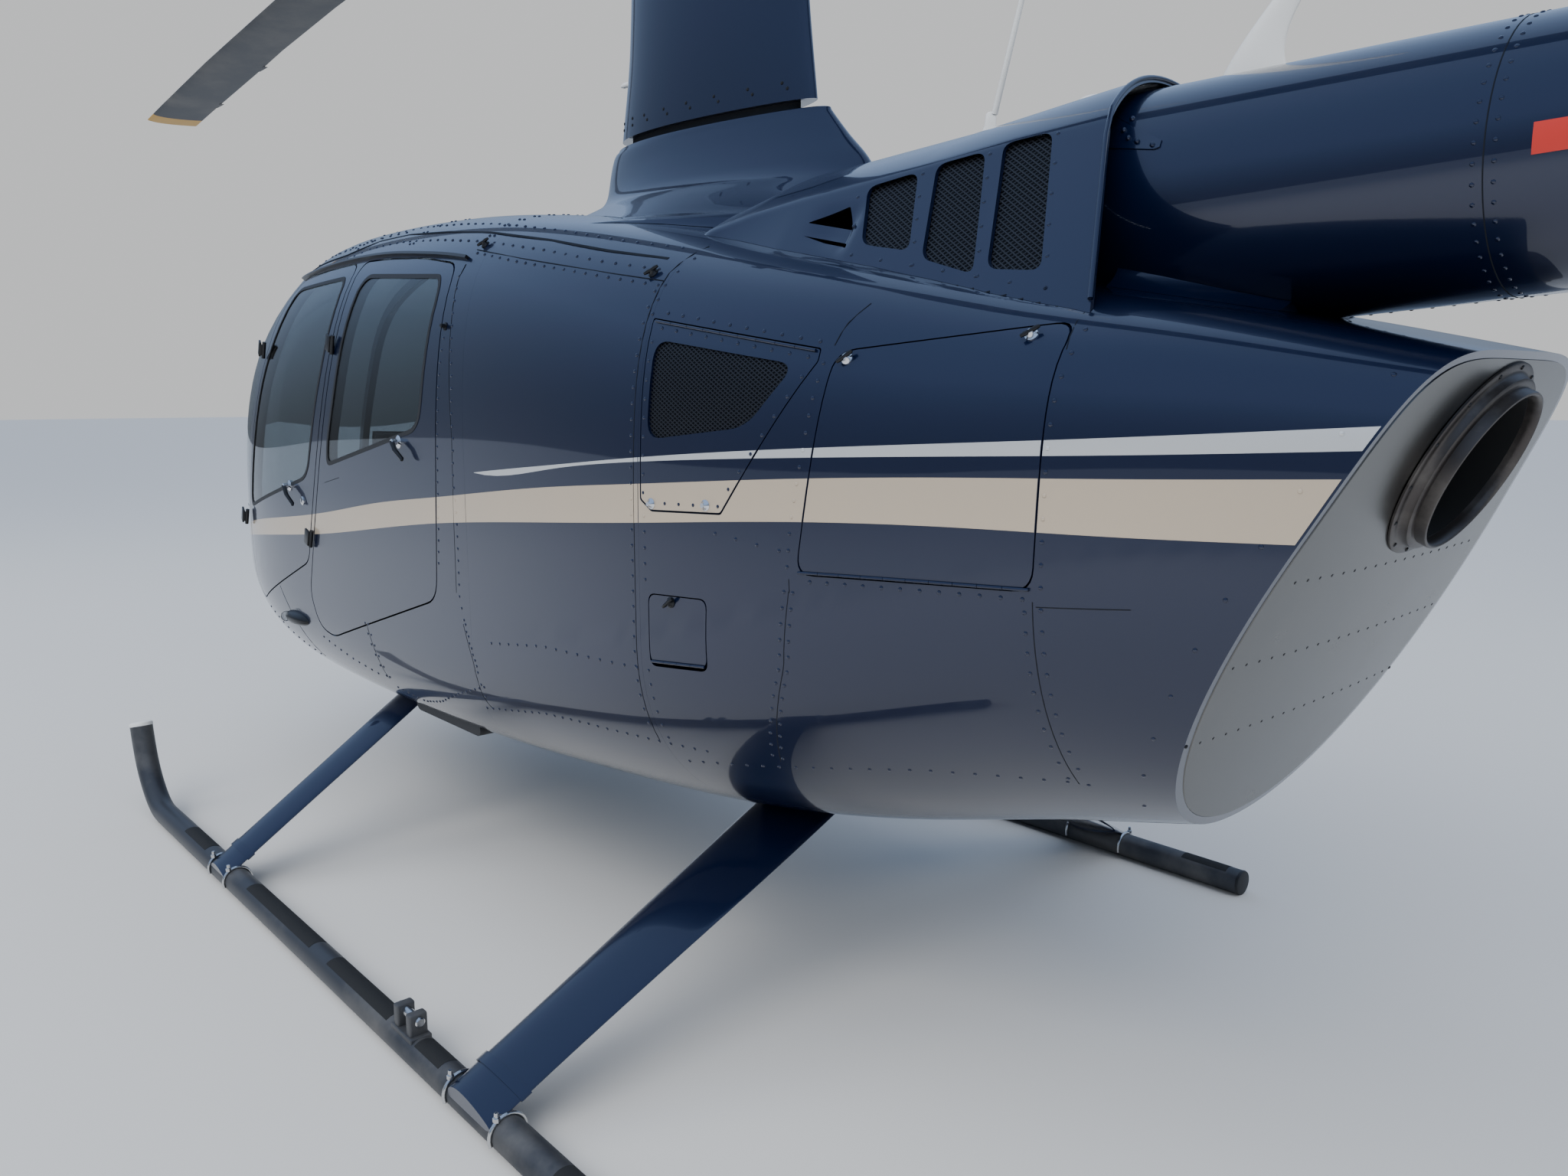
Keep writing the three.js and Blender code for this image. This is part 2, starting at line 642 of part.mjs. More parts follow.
function upperCowl() {
  const inner = loft(upperCowlSections.map((section) => upperCowlRing(section, -upperCowlWall)))
    .intersect(block([-2000, -900, 1400], [-760, 900, 2400]));
  let shell = upperCowlOuter.subtract(inner).intersect(upperCowlEnd).subtract(podClear);
  for (const window of upperCowlWindows) {
    const cut = sidePrism(window, 150, 900, 40);
    shell = shell.subtract(cut).subtract(mirrored(cut));
  }
  for (const opening of upperCowlScoops) {
    const cut = sidePrism(opening, 150, 900, 6);
    shell = shell.subtract(cut).subtract(mirrored(cut));
  }
  addPiece("upper_cowling", shell, "navy");
  const screenInner = loft(
    upperCowlSections.map((section) => upperCowlRing(section, -upperCowlWall - seam - screenThickness)),
  );
  const screenOuter = loft(
    upperCowlSections.map((section) => upperCowlRing(section, -upperCowlWall - seam)),
  );
  const band = sidePrism(upperCowlScreens, 180, 900);
  const screens = screenOuter.subtract(screenInner).subtract(podClear);
  addPiece("cowling_screen_left", screens.intersect(band), "mesh");
  addPiece("cowling_screen_right", screens.intersect(mirrored(band)), "mesh");
}

// Closed streamlined section in plan, blunt in front and drawn out behind
function bladeRing(front, aft, halfWidth, z, count = 24) {
  const ring = [];
  for (let i = 0; i < count; i++) {
    const angle = (2 * Math.PI * i) / count;
    const u = (1 + Math.cos(angle)) / 2; // 1 in front, 0 behind
    const y = halfWidth * Math.sin(angle) * (0.62 + 0.62 * u) * 0.94;
    ring.push([aft + (front - aft) * u, y, z]);
  }
  return ring;
}

function mastFairing() {
  const base = loft(
    fairingBaseSections.map(([z, front, aft, halfWidth]) => bladeRing(front, aft, halfWidth, z, 32)),
  );
  const cowlClear = loft(upperCowlSections.map((section) => upperCowlRing(section, seam)));
  const bore = rod([-200, 0, 2200], [-200, 0, 2300], 60);
  addPiece("fairing_base", base.subtract(podClear).subtract(cowlClear).subtract(bore), "navy");
  const column = loft(
    fairingSections.map(([z, front, aft, halfWidth]) => bladeRing(front, aft, halfWidth, z)),
  );
  const neck = rod([-200, 0, 2200 + seam], [-200, 0, 2300], 55);
  const socket = rod([0, 0, mastBottomZ - seam], [0, 0, 3120], mastRadius + 4, mastRadius + 4, 20);
  const probe = rod([150, 0, 2452], [252, 0, 2452], 8, 6, 8);
  const swashplateLower = rod([0, 0, 3000], [0, 0, 3098], 84, 112, 20);
  addPiece("mast_fairing", column.add(neck).add(probe).add(swashplateLower).subtract(socket), "navy");
}

// Thin wing section as a ring in the x and z of its own plane
function wingSection(lead, trail, thick, place) {
  const count = 14;
  const ring = [];
  for (let i = 0; i < count; i++) {
    const angle = (2 * Math.PI * i) / count;
    const u = (1 + Math.cos(angle)) / 2;
    const across = (thick / 2) * Math.sin(angle) * (0.5 + 0.75 * u);
    ring.push(place(trail + (lead - trail) * u, across));
  }
  return ring;
}

function tail() {
  addPiece("tail_cone", tailCone, "navy");
  const { x, y, z } = tailRotor;
  const neckRadius = coneAft.r - 8;
  const endRadius = gearboxRadius - 16;
  const gearbox = (grow) =>
    rod([coneAft.x - seam, 0, coneAft.z], [x - 90 - grow, 0, z], neckRadius + grow, endRadius + grow, 16)
      .add(rod([x, -70 - grow, z], [x, 96 + grow, z], gearboxRadius + grow, gearboxRadius + grow, 16))
      .add(rod([x, 90, z], [x, y - 38 - seam, z], 40, 32, 12));
  addPiece("tail_gearbox", gearbox(0), "navy");
  const aroundCone = coneBody(seam, 0);
  const aroundTail = aroundCone.add(gearbox(seam)).add(gearbox(seam).translate([1, 0, 0]));
  const fin = (f) =>
    loft([
      wingSection(f.root[0], f.root[1], f.thick, (a, b) => [a, b, f.root[2]]),
      wingSection(f.tip[0], f.tip[1], f.thick * 0.7, (a, b) => [a, b, f.tip[2]]),
    ]).subtract(aroundTail);
  addPiece("upper_fin", largest(fin(upperFin)), "navy");
  const s = stabilizer;
  const coneAt = coneHeight(s.front - s.chord / 2);
  const wing = loft(
    [0, s.tipY].map((at) =>
      wingSection(s.front, s.front - s.chord, s.thick, (a, b) => [a, at, coneAt + b]),
    ),
  );
  addPiece("stabilizer", largest(wing.subtract(aroundTail)), "navy");
  const tipX = lowerFin.tip[1] + 60;
  const skid = tube(
    [[tipX + 130, 0, 1330], [tipX + 60, 0, 1190], [tipX - 60, 0, 1120], [tipX - 260, 0, 1090]],
    14,
    10,
    8,
  );
  addPiece("lower_fin", largest(fin(lowerFin).add(skid)), "navy");
  const guard = tube(
    [
      [x - 60, 34, z - 26], [x - 400, 34, z - 20], [x - 700, 46, z - 10],
      [x - 830, 110, z], [x - 850, 230, z],
      [x - 850, 330, z],
    ],
    13,
    22,
    8,
  );
  const finClear = loft([
    wingSection(
      upperFin.root[0], upperFin.root[1] - 4, upperFin.thick + 4, (a, b) => [a, b, upperFin.root[2] - 1],
    ),
    wingSection(upperFin.tip[0], upperFin.tip[1] - 4, upperFin.thick, (a, b) => [a, b, upperFin.tip[2]]),
  ]);
  addPiece("tail_rotor_guard", largest(guard.subtract(gearbox(2 * seam)).subtract(finClear)), "white");
}

function coneHeight(x) {
  return coneFront.z + ((coneFront.x - x) / (coneFront.x - coneAft.x)) * (coneAft.z - coneFront.z);
}

function coneRadius(x) {
  return coneFront.r + ((coneFront.x - x) / (coneFront.x - coneAft.x)) * (coneAft.r - coneFront.r);
}

function largest(body) {
  return body.decompose().sort((a, b) => b.volume() - a.volume())[0];
}

// Main rotor: mast, hub, two blades that hang a little, swashplate and pitch links
function mainRotor() {
  const hubHeight = 74;
  const mast = rod([0, 0, mastBottomZ], [0, 0, hubZ - hubHeight / 2 - seam], mastRadius, mastRadius, 16);
  addPiece("rotor_mast", mast, "steel");
  const plate = rod([0, 0, 3106], [0, 0, 3138], 128, 118, 20).subtract(
    rod([0, 0, 3090], [0, 0, 3150], mastRadius + seam, mastRadius + seam, 16),
  );
  addPiece("swashplate", plate, "steel");
  const bar = block(
    [-bladeRoot.start, -52, hubZ - hubHeight / 2],
    [bladeRoot.start, 52, hubZ + hubHeight / 2],
  );
  const cap = rod([0, 0, hubZ], [0, 0, topZ], 62, 34, 16);
  const horn = (side) =>
    block(
      [side * 150 - 22, side > 0 ? 50 : -150, hubZ - 30],
      [side * 150 + 22, side > 0 ? 150 : -50, hubZ - 6],
    );
  let hub = bar.add(cap);
  for (const side of [1, -1]) {
    const link = rod([side * 60, side * 80, 3120], [side * 150, side * 130, hubZ - 12], 9, 9, 8)
      .subtract(block([-400, -400, 3000], [400, 400, 3138 + seam]));
    hub = hub.add(horn(side)).add(link);
  }
  addPiece("rotor_hub", hub, "darkSteel");
  for (const [name, turn] of [["front", 1], ["rear", -1]]) {
    addPiece(`main_blade_${name}`, mainBlade(turn), "charcoal");
  }
}

// A blade as a loft of wing sections, from a round root to a square tip; turn is 1 ahead and -1 behind
function mainBlade(turn) {
  const rings = [];
  const root = bladeRoot.start + seam;
  for (const [r, chord, thick] of [
    [root, 96, 66],
    [430, 120, 62],
    [bladeRoot.full, bladeRoot.chord, 38],
    [1700, bladeRoot.chord, 32],
    [2800, bladeRoot.chord, 32],
    [3900, bladeTipChord, 32],
    [4700, bladeTipChord, 28],
    [rotorRadius, bladeTipChord, 26],
  ]) {
    const z = hubZ - tipDrop * (r / rotorRadius) ** 1.8;
    rings.push(wingSection(chord * 0.27, -chord * 0.73, thick, (a, b) => [turn * r, turn * a, z + b]));
  }
  return loft(rings);
}

function tailRotorParts() {
  const { x, y, z, r, chord } = tailRotor;
  const hub = rod([x, y - 38, z], [x, y + 34, z], 46, 38, 14)
    .add(block([x - 24, y - 14, z - 118], [x + 24, y + 14, z + 118]));
  addPiece("tail_rotor_hub", hub, "darkSteel");
  for (const [name, turn] of [["upper", 1], ["lower", -1]]) {
    const rings = [
      [118 + seam, 46, 28],
      [190, chord, 18],
      [r, chord, 13],
    ].map(([at, width, thick]) =>
      wingSection(width * 0.5, -width * 0.5, thick, (a, b) => [x + turn * a, y + b, z + turn * at]),
    );
    addPiece(`tail_blade_${name}`, loft(rings), "white");
  }
}

// Landing gear: two skid tubes and four faired struts
function landingGear() {
  const low = skidRadius;
  for (const [side, sign] of [["left", 1], ["right", -1]]) {
    const aftEnd = [skidAftX, sign * skidY, low];
    const straight = rod(aftEnd, [toeBendX, sign * skidY, low], skidRadius, skidRadius, 16);
    const curve = [];
    for (const [x, z] of [[toeBendX - 1, 0], [1560, 14], [1660, 92], [1710, 186], [toe.x, toe.z - low]]) {
      curve.push([x, sign * skidY, low + z]);
    }
    const bend = tube(curve, skidRadius, 10, 16);
    const bracket = block([-560, sign * skidY - 26, 60], [-470, sign * skidY + 26, 132]);
    addPiece(`skid_${side}`, straight.add(bend).add(bracket), "skid");
    for (const [place, x, halfWidth, z, footX, footChord, chord, thick] of struts) {
      const foot = [footX, sign * (skidY - 6), 2 * skidRadius + seam];
      const top = [x, sign * halfWidth, z + 40];
      const dy = top[1] - foot[1];
      const dz = top[2] - foot[2];
      const length = Math.hypot(dy, dz);
      const across = [-dz / length, dy / length];
      const ring = ([fx, fy, fz], c) =>
        wingSection(c * 0.42, -c * 0.58, thick, (a, b) => [fx + a, fy + across[0] * b, fz + across[1] * b]);
      const leg = loft([ring(foot.map((v, i) => v - [0, dy, dz][i] * 0.06), footChord), ring(top, chord)]);
      const skidClear = rod(
        [skidAftX - 50, sign * skidY, low], [toeBendX, sign * skidY, low],
        skidRadius + seam, skidRadius + seam, 16,
      );
      const trimmed = leg.subtract(podClear).subtract(skidClear)
        .intersect(block([-3000, 1 - skidY - skidRadius, skidRadius], [3000, skidY + skidRadius - 1, 900]));
      addPiece(`strut_${place}_${side}`, largest(trimmed), "navy");
    }
  }
}

// What stands in the cabin is fitted to its walls and floor
const cabinFit = pod(-doorWall - seam, -floorWall - seam)
  .intersect(block([cabinInsideX + seam, -900, 300], [2500, 900, 2300]));

// Cushion-like block with a slanted back
function seat(name, x, y0, y1, floorZ) {
  const base = sidePrism(
    [[x - 40, floorZ], [x + 430, floorZ], [x + 470, floorZ + 330], [x + 20, floorZ + 290]], y0, y1, 30,
  );
  const back = sidePrism(
    [[x + 60, floorZ + 280], [x - 60, floorZ + 300], [x - 215, floorZ + 900], [x - 120, floorZ + 925]],
    y0, y1, 30,
  );
  addPiece(name, base.add(back).intersect(cabinFit), "leather");
}

function cabinInterior() {
  const floorZ = 470;
  seat("seat_front_left", 1000, 70, 560, floorZ);
  seat("seat_front_right", 1000, -560, -70, floorZ);
  seat("rear_bench", 180, -610, 610, floorZ + 10);
  const standSide = [[1620, floorZ], [1980, 480], [1960, 960], [1700, 900], [1560, 760]];
  const stand = sidePrism(standSide, -150, 150, 20)
    .add(sidePrism([[1700, 880], [1980, 940], [1950, 1190], [1850, 1190]], -190, 190, 20));
  addPiece("instrument_console", stand.intersect(cabinFit), "plastic");
  const stick = rod([1480, 0, floorZ - 8], [1400, 0, 980], 14, 12, 10)
    .add(rod([1400, 0, 975], [1400, 430, 1060], 11, 11, 8))
    .add(rod([1400, 0, 975], [1400, -430, 1060], 11, 11, 8));
  addPiece("cyclic_stick", stick.intersect(cabinFit), "plastic");
}

function antennasAndLamps() {
  const whip = rod([-1205, 0, 2050], [-1238, 0, 2150], 32, 11, 10)
    .add(rod([-1237, 0, 2148], [-1410, 0, 2740], 7, 4, 8));
  addPiece("whip_antenna", largest(whip.subtract(upperCowlGrown())), "white");
  const disc = rod([-1502, 0, 2080], [-1504, 0, 2136], 40, 32, 20);
  addPiece("disc_antenna", largest(disc.subtract(upperCowlGrown())), "white");
  const finFoot = -1860;
  const finZ = coneHeight(finFoot) + coneRadius(finFoot);
  const blade = loft([
    wingSection(finFoot + 95, finFoot - 105, 30, (a, b) => [a, b, finZ - 30]),
    wingSection(finFoot + 50, finFoot - 100, 24, (a, b) => [a, b, finZ + 60]),
    wingSection(finFoot - 60, finFoot - 130, 14, (a, b) => [a, b, finZ + 250]),
  ]);
  addPiece("blade_antenna", largest(blade.subtract(coneClear)), "white");
  const beaconX = -3600;
  const beaconZ = coneHeight(beaconX) + coneRadius(beaconX);
  const beacon = rod([beaconX, 0, beaconZ - 30], [beaconX, 0, beaconZ + 70], 44, 30, 14);
  addPiece("tail_beacon", largest(beacon.subtract(coneClear)), "red");
  const lamp = { x: 1230, z: 735, length: 105, height: 25, depth: 34 }; // half sizes
  const lampY = skinY(lamp.x, lamp.z);
  const dome = loft(
    [-1, -0.9, -0.7, -0.4, 0, 0.4, 0.7, 0.9, 1].map((t) => {
      const size = Math.sqrt(1 - t * t);
      if (size === 0) return [[lamp.x + t * lamp.length, lampY, lamp.z]];
      const ring = [];
      for (let i = 0; i < 16; i++) {
        const angle = (Math.PI * i) / 8;
        const [across, up] = [lamp.depth * size * Math.cos(angle), lamp.height * size * Math.sin(angle)];
        ring.push([lamp.x + t * lamp.length, lampY + across, lamp.z + up]);
      }
      return ring;
    }),
  ).subtract(podClear);
  addPiece("nose_lamp_left", largest(dome), "lamp");
  addPiece("nose_lamp_right", mirrored(largest(dome)), "lamp");
}

function upperCowlGrown() {
  return loft(upperCowlSections.map((section) => upperCowlRing(section, seam)));
}

cabin();
cabinDoors();
middleBody();
engineCowling();
engine();
upperCowl();
mastFairing();
tail();
mainRotor();
tailRotorParts();
landingGear();
cabinInterior();
antennasAndLamps();

const reachAft = tailRotor.x - 850 - 13; // the tail rotor guard
helicopter.position.x = -(rotorRadius + reachAft) / 2;

export default helicopter;
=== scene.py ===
import math
import random

import bmesh
import bpy
import numpy as np
from mathutils import Matrix, Vector


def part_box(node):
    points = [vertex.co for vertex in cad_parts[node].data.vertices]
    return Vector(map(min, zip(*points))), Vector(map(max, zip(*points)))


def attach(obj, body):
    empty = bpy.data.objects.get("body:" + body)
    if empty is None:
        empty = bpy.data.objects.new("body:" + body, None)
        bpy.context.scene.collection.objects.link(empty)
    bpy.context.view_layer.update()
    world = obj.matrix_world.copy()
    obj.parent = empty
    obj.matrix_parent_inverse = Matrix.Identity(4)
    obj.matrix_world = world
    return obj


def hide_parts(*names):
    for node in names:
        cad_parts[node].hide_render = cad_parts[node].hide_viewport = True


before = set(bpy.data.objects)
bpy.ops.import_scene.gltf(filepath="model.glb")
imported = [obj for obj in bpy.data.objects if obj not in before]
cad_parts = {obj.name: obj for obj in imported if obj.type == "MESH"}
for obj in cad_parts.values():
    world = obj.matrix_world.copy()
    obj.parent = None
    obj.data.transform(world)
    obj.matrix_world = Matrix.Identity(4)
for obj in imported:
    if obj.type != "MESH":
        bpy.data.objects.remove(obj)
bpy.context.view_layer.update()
random.seed(11)

mastLow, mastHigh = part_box("rotor_mast")
mastX = (mastLow[0] + mastHigh[0]) / 2
print("frame loaded, rotor mast at x", round(mastX, 4))

# Lengths below are millimetres, x forward from the rotor mast, y to the left, z up from the ground
camera = {
    "place": (-2970, 2190, 1550),
    "turn": 42.0,  # degrees to the right of straight ahead
    "down": 9.8,
    "lens": 27.03,
    "sensor": 36,
    "farthest": 400,  # metres
}


def toRow(points):
    rows = np.asarray(points, float).reshape(-1, 3) / 1000
    rows[:, 0] += mastX
    return rows


def linked(name, data):
    made = bpy.data.objects.new(name, data)
    bpy.context.collection.objects.link(made)
    return made


def addCamera(c):
    turn, down = math.radians(c["turn"]), math.radians(c["down"])
    ahead = Vector((math.cos(turn) * math.cos(down), -math.sin(turn) * math.cos(down), -math.sin(down)))
    data = bpy.data.cameras.new("photoCamera")
    data.lens, data.sensor_width, data.clip_end = c["lens"], c["sensor"], c["farthest"]
    made = linked("photoCamera", data)
    made.location = toRow(c["place"])[0]
    made.rotation_euler = ahead.to_track_quat("-Z", "Y").to_euler()
    bpy.context.scene.camera = made


addCamera(camera)
print("camera placed")


# Node groups that several finishes share

def newGroup(name, inputs, outputs):
    tree = bpy.data.node_groups.new(name, "ShaderNodeTree")
    for label, kind, value in inputs:
        socket = tree.interface.new_socket(name=label, in_out="INPUT", socket_type=kind)
        socket.default_value = value
    for label, kind in outputs:
        tree.interface.new_socket(name=label, in_out="OUTPUT", socket_type=kind)
    return tree, tree.nodes.new("NodeGroupInput"), tree.nodes.new("NodeGroupOutput")


def addNode(tree, kind, values=(), **settings):
    # a shader node with its settings, then the values of its sockets
    node = tree.nodes.new("ShaderNode" + kind)
    for key, value in settings.items():
        setattr(node, key, value)
    for socket, value in dict(values).items():
        node.inputs[socket].default_value = value
    return node


def wire(tree, *links):
    for source, output, target, socket in links:
        tree.links.new(source.outputs[output], target.inputs[socket])


def fineGrainGroup():
    # fine unevenness of a painted or cast surface, as a height
    tree, start, end = newGroup(
        "fineGrain",
        [("Scale", "NodeSocketFloat", 300.0), ("Depth", "NodeSocketFloat", 0.2)],
        [("Height", "NodeSocketFloat")],
    )
    place = addNode(tree, "TexCoord")
    noise = addNode(tree, "TexNoise", {"Detail": 3})
    size = addNode(tree, "Math", operation="MULTIPLY")
    wire(
        tree, (place, "Object", noise, "Vector"), (start, "Scale", noise, "Scale"), (noise, "Fac", size, 0),
        (start, "Depth", size, 1), (size, 0, end, "Height"),
    )
    return tree


def dustFilmGroup():
    # thin dust and rain marks
    tree, start, end = newGroup(
        "dustFilm",
        [
            ("Amount", "NodeSocketFloat", 0.3),
            ("Scale", "NodeSocketFloat", 3.0),
            ("Clean Color", "NodeSocketColor", (0.5, 0.5, 0.5, 1)),
            ("Dust Color", "NodeSocketColor", (0.42, 0.39, 0.34, 1)),
            ("Clean Roughness", "NodeSocketFloat", 0.2),
        ],
        [("Color", "NodeSocketColor"), ("Roughness", "NodeSocketFloat")],
    )
    place = addNode(tree, "TexCoord")
    noise = addNode(tree, "TexNoise", {"Detail": 6, "Roughness": 0.62})
    ramp = addNode(tree, "MapRange", {"From Min": 0.46, "From Max": 0.78})
    mask = addNode(tree, "Math", operation="MULTIPLY")
    mix = addNode(tree, "Mix", data_type="RGBA")
    rough = addNode(tree, "Math", {1: 0.55}, operation="MULTIPLY_ADD")
    wire(
        tree, (place, "Object", noise, "Vector"), (start, "Scale", noise, "Scale"),
        (noise, "Fac", ramp, "Value"), (ramp, "Result", mask, 0), (start, "Amount", mask, 1),
        (mask, 0, mix, "Factor"), (start, "Clean Color", mix, "A"), (start, "Dust Color", mix, "B"),
        (mask, 0, rough, 0), (start, "Clean Roughness", rough, 2), (mix, "Result", end, "Color"),
        (rough, 0, end, "Roughness"),
    )
    return tree


fineGrain = fineGrainGroup()
dustFilm = dustFilmGroup()


def finish(name, look):
    # one material from a dictionary: plain socket values, dust and grain
    material = bpy.data.materials.new(name)
    material.use_nodes = True
    tree = material.node_tree
    shader = tree.nodes["Principled BSDF"]
    color, rough = (*look["color"], 1), look["roughness"]
    plain = {"Base Color": color, "Roughness": rough, "Metallic": look.get("metallic", 0)}
    for socket, value in {**plain, **look.get("sockets", {})}.items():
        shader.inputs[socket].default_value = value
    if "dust" in look:
        film = addNode(tree, "Group", {
            "Amount": look["dust"], "Scale": look.get("dustScale", 3), "Clean Color": color,
            "Clean Roughness": rough,
        }, node_tree=dustFilm)
        wire(tree, (film, "Color", shader, "Base Color"), (film, "Roughness", shader, "Roughness"))
    if "grain" in look:
        scale, depth, strength = look["grain"]
        grain = addNode(tree, "Group", {"Scale": scale, "Depth": depth}, node_tree=fineGrain)
        bump = addNode(tree, "Bump", {"Strength": strength, "Distance": 0.001})
        wire(tree, (grain, "Height", bump, "Height"), (bump, "Normal", shader, "Normal"))
    return material


looks = {
    "navyPaint": {
        "color": (0.0035, 0.0085, 0.034), "roughness": 0.3, "metallic": 0.5,
        "sockets": {"Coat Weight": 1.0, "Coat Roughness": 0.03, "Coat IOR": 1.5},
    },
    "champagnePaint": {
        "color": (0.56, 0.45, 0.32), "roughness": 0.32, "metallic": 0.35, "dust": 0.08,
        "sockets": {"Coat Weight": 0.9, "Coat Roughness": 0.05},
    },
    "silverPaint": {
        "color": (0.62, 0.62, 0.6), "roughness": 0.32, "metallic": 0.45,
        "sockets": {"Coat Weight": 0.9, "Coat Roughness": 0.05},
    },
    "windowGlass": {
        "color": (0.4, 0.45, 0.47), "roughness": 0.01,
        "sockets": {"Transmission Weight": 1.0, "IOR": 1.3, "Coat Weight": 0.3, "Coat Roughness": 0.01},
    },
    "blackRubber": {"color": (0.012, 0.012, 0.013), "roughness": 0.55, "grain": (500, 0.3, 0.3)},
    # near-black: dark joints between sheets, and painted shade on sheets and rings set in hollows
    "seamAndShadeDark": {"color": (0.004, 0.005, 0.008), "roughness": 0.8},
    "polishedSteel": {
        "color": (0.15, 0.147, 0.138), "roughness": 0.24, "metallic": 1.0, "dust": 0.12, "dustScale": 5,
        "grain": (40, 0.4, 0.2),
    },
    "brightSteel": {
        "color": (0.62, 0.62, 0.62), "roughness": 0.22, "metallic": 1.0, "grain": (400, 0.2, 0.2),
    },
    "exhaustSteel": {
        "color": (0.09, 0.08, 0.075), "roughness": 0.38, "metallic": 0.9, "dust": 0.35, "dustScale": 9,
        "grain": (180, 0.5, 0.35),
    },
    "sootBlack": {"color": (0.006, 0.006, 0.006), "roughness": 0.9, "grain": (200, 0.5, 0.4)},
    "bladeCoat": {"color": (0.035, 0.036, 0.04), "roughness": 0.5, "dust": 0.25, "grain": (700, 0.3, 0.2)},
    "ochreBand": {"color": (0.55, 0.3, 0.04), "roughness": 0.45, "dust": 0.2},
    "skidCoat": {"color": (0.035, 0.038, 0.045), "roughness": 0.42, "metallic": 0.3, "dust": 0.3},
    "gripStrip": {"color": (0.02, 0.02, 0.02), "roughness": 0.95, "grain": (1500, 1.0, 0.9)},
    "whiteCoat": {"color": (0.75, 0.74, 0.7), "roughness": 0.35, "dust": 0.25},
    "screenMesh": {"color": (0.03, 0.032, 0.038), "roughness": 0.4, "metallic": 0.7},
    "blackMetal": {"color": (0.01, 0.01, 0.011), "roughness": 0.3, "metallic": 0.3},
    "chromeTrim": {"color": (0.75, 0.75, 0.76), "roughness": 0.12, "metallic": 1.0},
    "cabinPlastic": {"color": (0.025, 0.025, 0.027), "roughness": 0.6, "grain": (600, 0.5, 0.4)},
    "cabinLining": {"color": (0.16, 0.15, 0.14), "roughness": 0.85, "grain": (500, 0.6, 0.5)},
    "cushionLeather": {"color": (0.035, 0.03, 0.028), "roughness": 0.5, "grain": (350, 0.8, 0.6)},
    "redLens": {
        "color": (0.5, 0.01, 0.01), "roughness": 0.08,
        "sockets": {"Transmission Weight": 0.6, "Coat Weight": 1.0},
    },
    "redPlate": {"color": (0.5, 0.03, 0.02), "roughness": 0.4},
    "lampGlass": {
        "color": (0.85, 0.88, 0.9), "roughness": 0.02,
        "sockets": {"Transmission Weight": 0.9, "IOR": 1.45},
    },
}
finishes = {name: finish(name, look) for name, look in looks.items()}
print("finishes ready:", len(finishes))


# Points and meshes

def unit(v):
    v = np.asarray(v, float)
    return v / max(np.linalg.norm(v), 1e-9)


def arcPoint(start, corner, end, t):
    return (1 - t) ** 2 * start + 2 * t * (1 - t) * corner + t * t * end


def runAlong(points):
    # length along a polyline up to each of its points
    return np.concatenate([[0], np.cumsum(np.linalg.norm(np.diff(points, axis=0), axis=1))])


def resampled(points, steps):
    run = runAlong(points)
    at = np.linspace(0, run[-1], steps + 1)
    return np.stack([np.interp(at, run, points[:, i]) for i in range(points.shape[1])], axis=1)


def spaced(outline, spacing):
    # points at an even spacing along a polyline
    points = np.array(outline, float)
    return resampled(points, max(1, round(runAlong(points)[-1] / spacing)))


def makeObject(name, points, faces, material):
    mesh = bpy.data.meshes.new(name)
    mesh.from_pydata(toRow(points).tolist(), [], faces)
    mesh.update()
    if material:
        mesh.materials.append(finishes[material])
    return linked(name, mesh)


def copyOf(made, name):
    return linked(name, made.data.copy())


def gridFaces(rows, columns, flip=False, start=0):
    # faces between closed rings
    faces = []
    for i in range(rows - 1):
        for j in range(columns):
            k = (j + 1) % columns
            a, b = start + i * columns + j, start + i * columns + k
            c, d = b + columns, a + columns
            faces.append((a, d, c, b) if flip else (a, b, c, d))
    return faces


def prismFaces(count):
    # faces of a prism whose two ends have count points each
    sides = [(i, i + count, (i + 1) % count + count, (i + 1) % count) for i in range(count)]
    return [tuple(range(count)), tuple(range(2 * count - 1, count - 1, -1)), *sides]


def outward(made):
    # turns all faces of a closed mesh outwards
    work = bmesh.new()
    work.from_mesh(made.data)
    bmesh.ops.recalc_face_normals(work, faces=work.faces)
    if work.calc_volume(signed=True) < 0:
        bmesh.ops.reverse_faces(work, faces=work.faces)
    work.to_mesh(made.data)
    work.free()
    return made


def smoothByAngle(made, degrees=35):
    work = bmesh.new()
    work.from_mesh(made.data)
    limit = math.radians(degrees)
    for face in work.faces:
        face.smooth = True
    for edge in work.edges:
        edge.smooth = len(edge.link_faces) == 2 and edge.calc_face_angle(4) < limit
    work.to_mesh(made.data)
    work.free()
    return made


def loft(name, rings, material, degrees=35):
    # rings with the same number of points, joined in order and closed at both ends
    count, total = len(rings[0]), len(rings) * len(rings[0])
    faces = gridFaces(len(rings), count) + [tuple(range(count)), tuple(range(total - count, total))]
    made = makeObject(name, np.concatenate([np.asarray(ring, float) for ring in rings]), faces, material)
    return smoothByAngle(outward(made), degrees)


def applied(made):
    # the mesh with its modifiers worked in
    bpy.context.view_layer.update()
    seen = made.evaluated_get(bpy.context.evaluated_depsgraph_get())
    mesh = bpy.data.meshes.new_from_object(seen)
    old = made.data
    made.modifiers.clear()
    made.data = mesh
    bpy.data.meshes.remove(old)
    return made


def combine(made, others, how):
    for other in others:
        step = made.modifiers.new("cut", "BOOLEAN")
        step.operation = how
        step.solver = "MANIFOLD"
        step.object = other
        applied(made)
    for other in others:
        discard(other)
    return made


def discard(made):
    mesh = made.data
    bpy.data.objects.remove(made)
    if mesh.users == 0:
        bpy.data.meshes.remove(mesh)


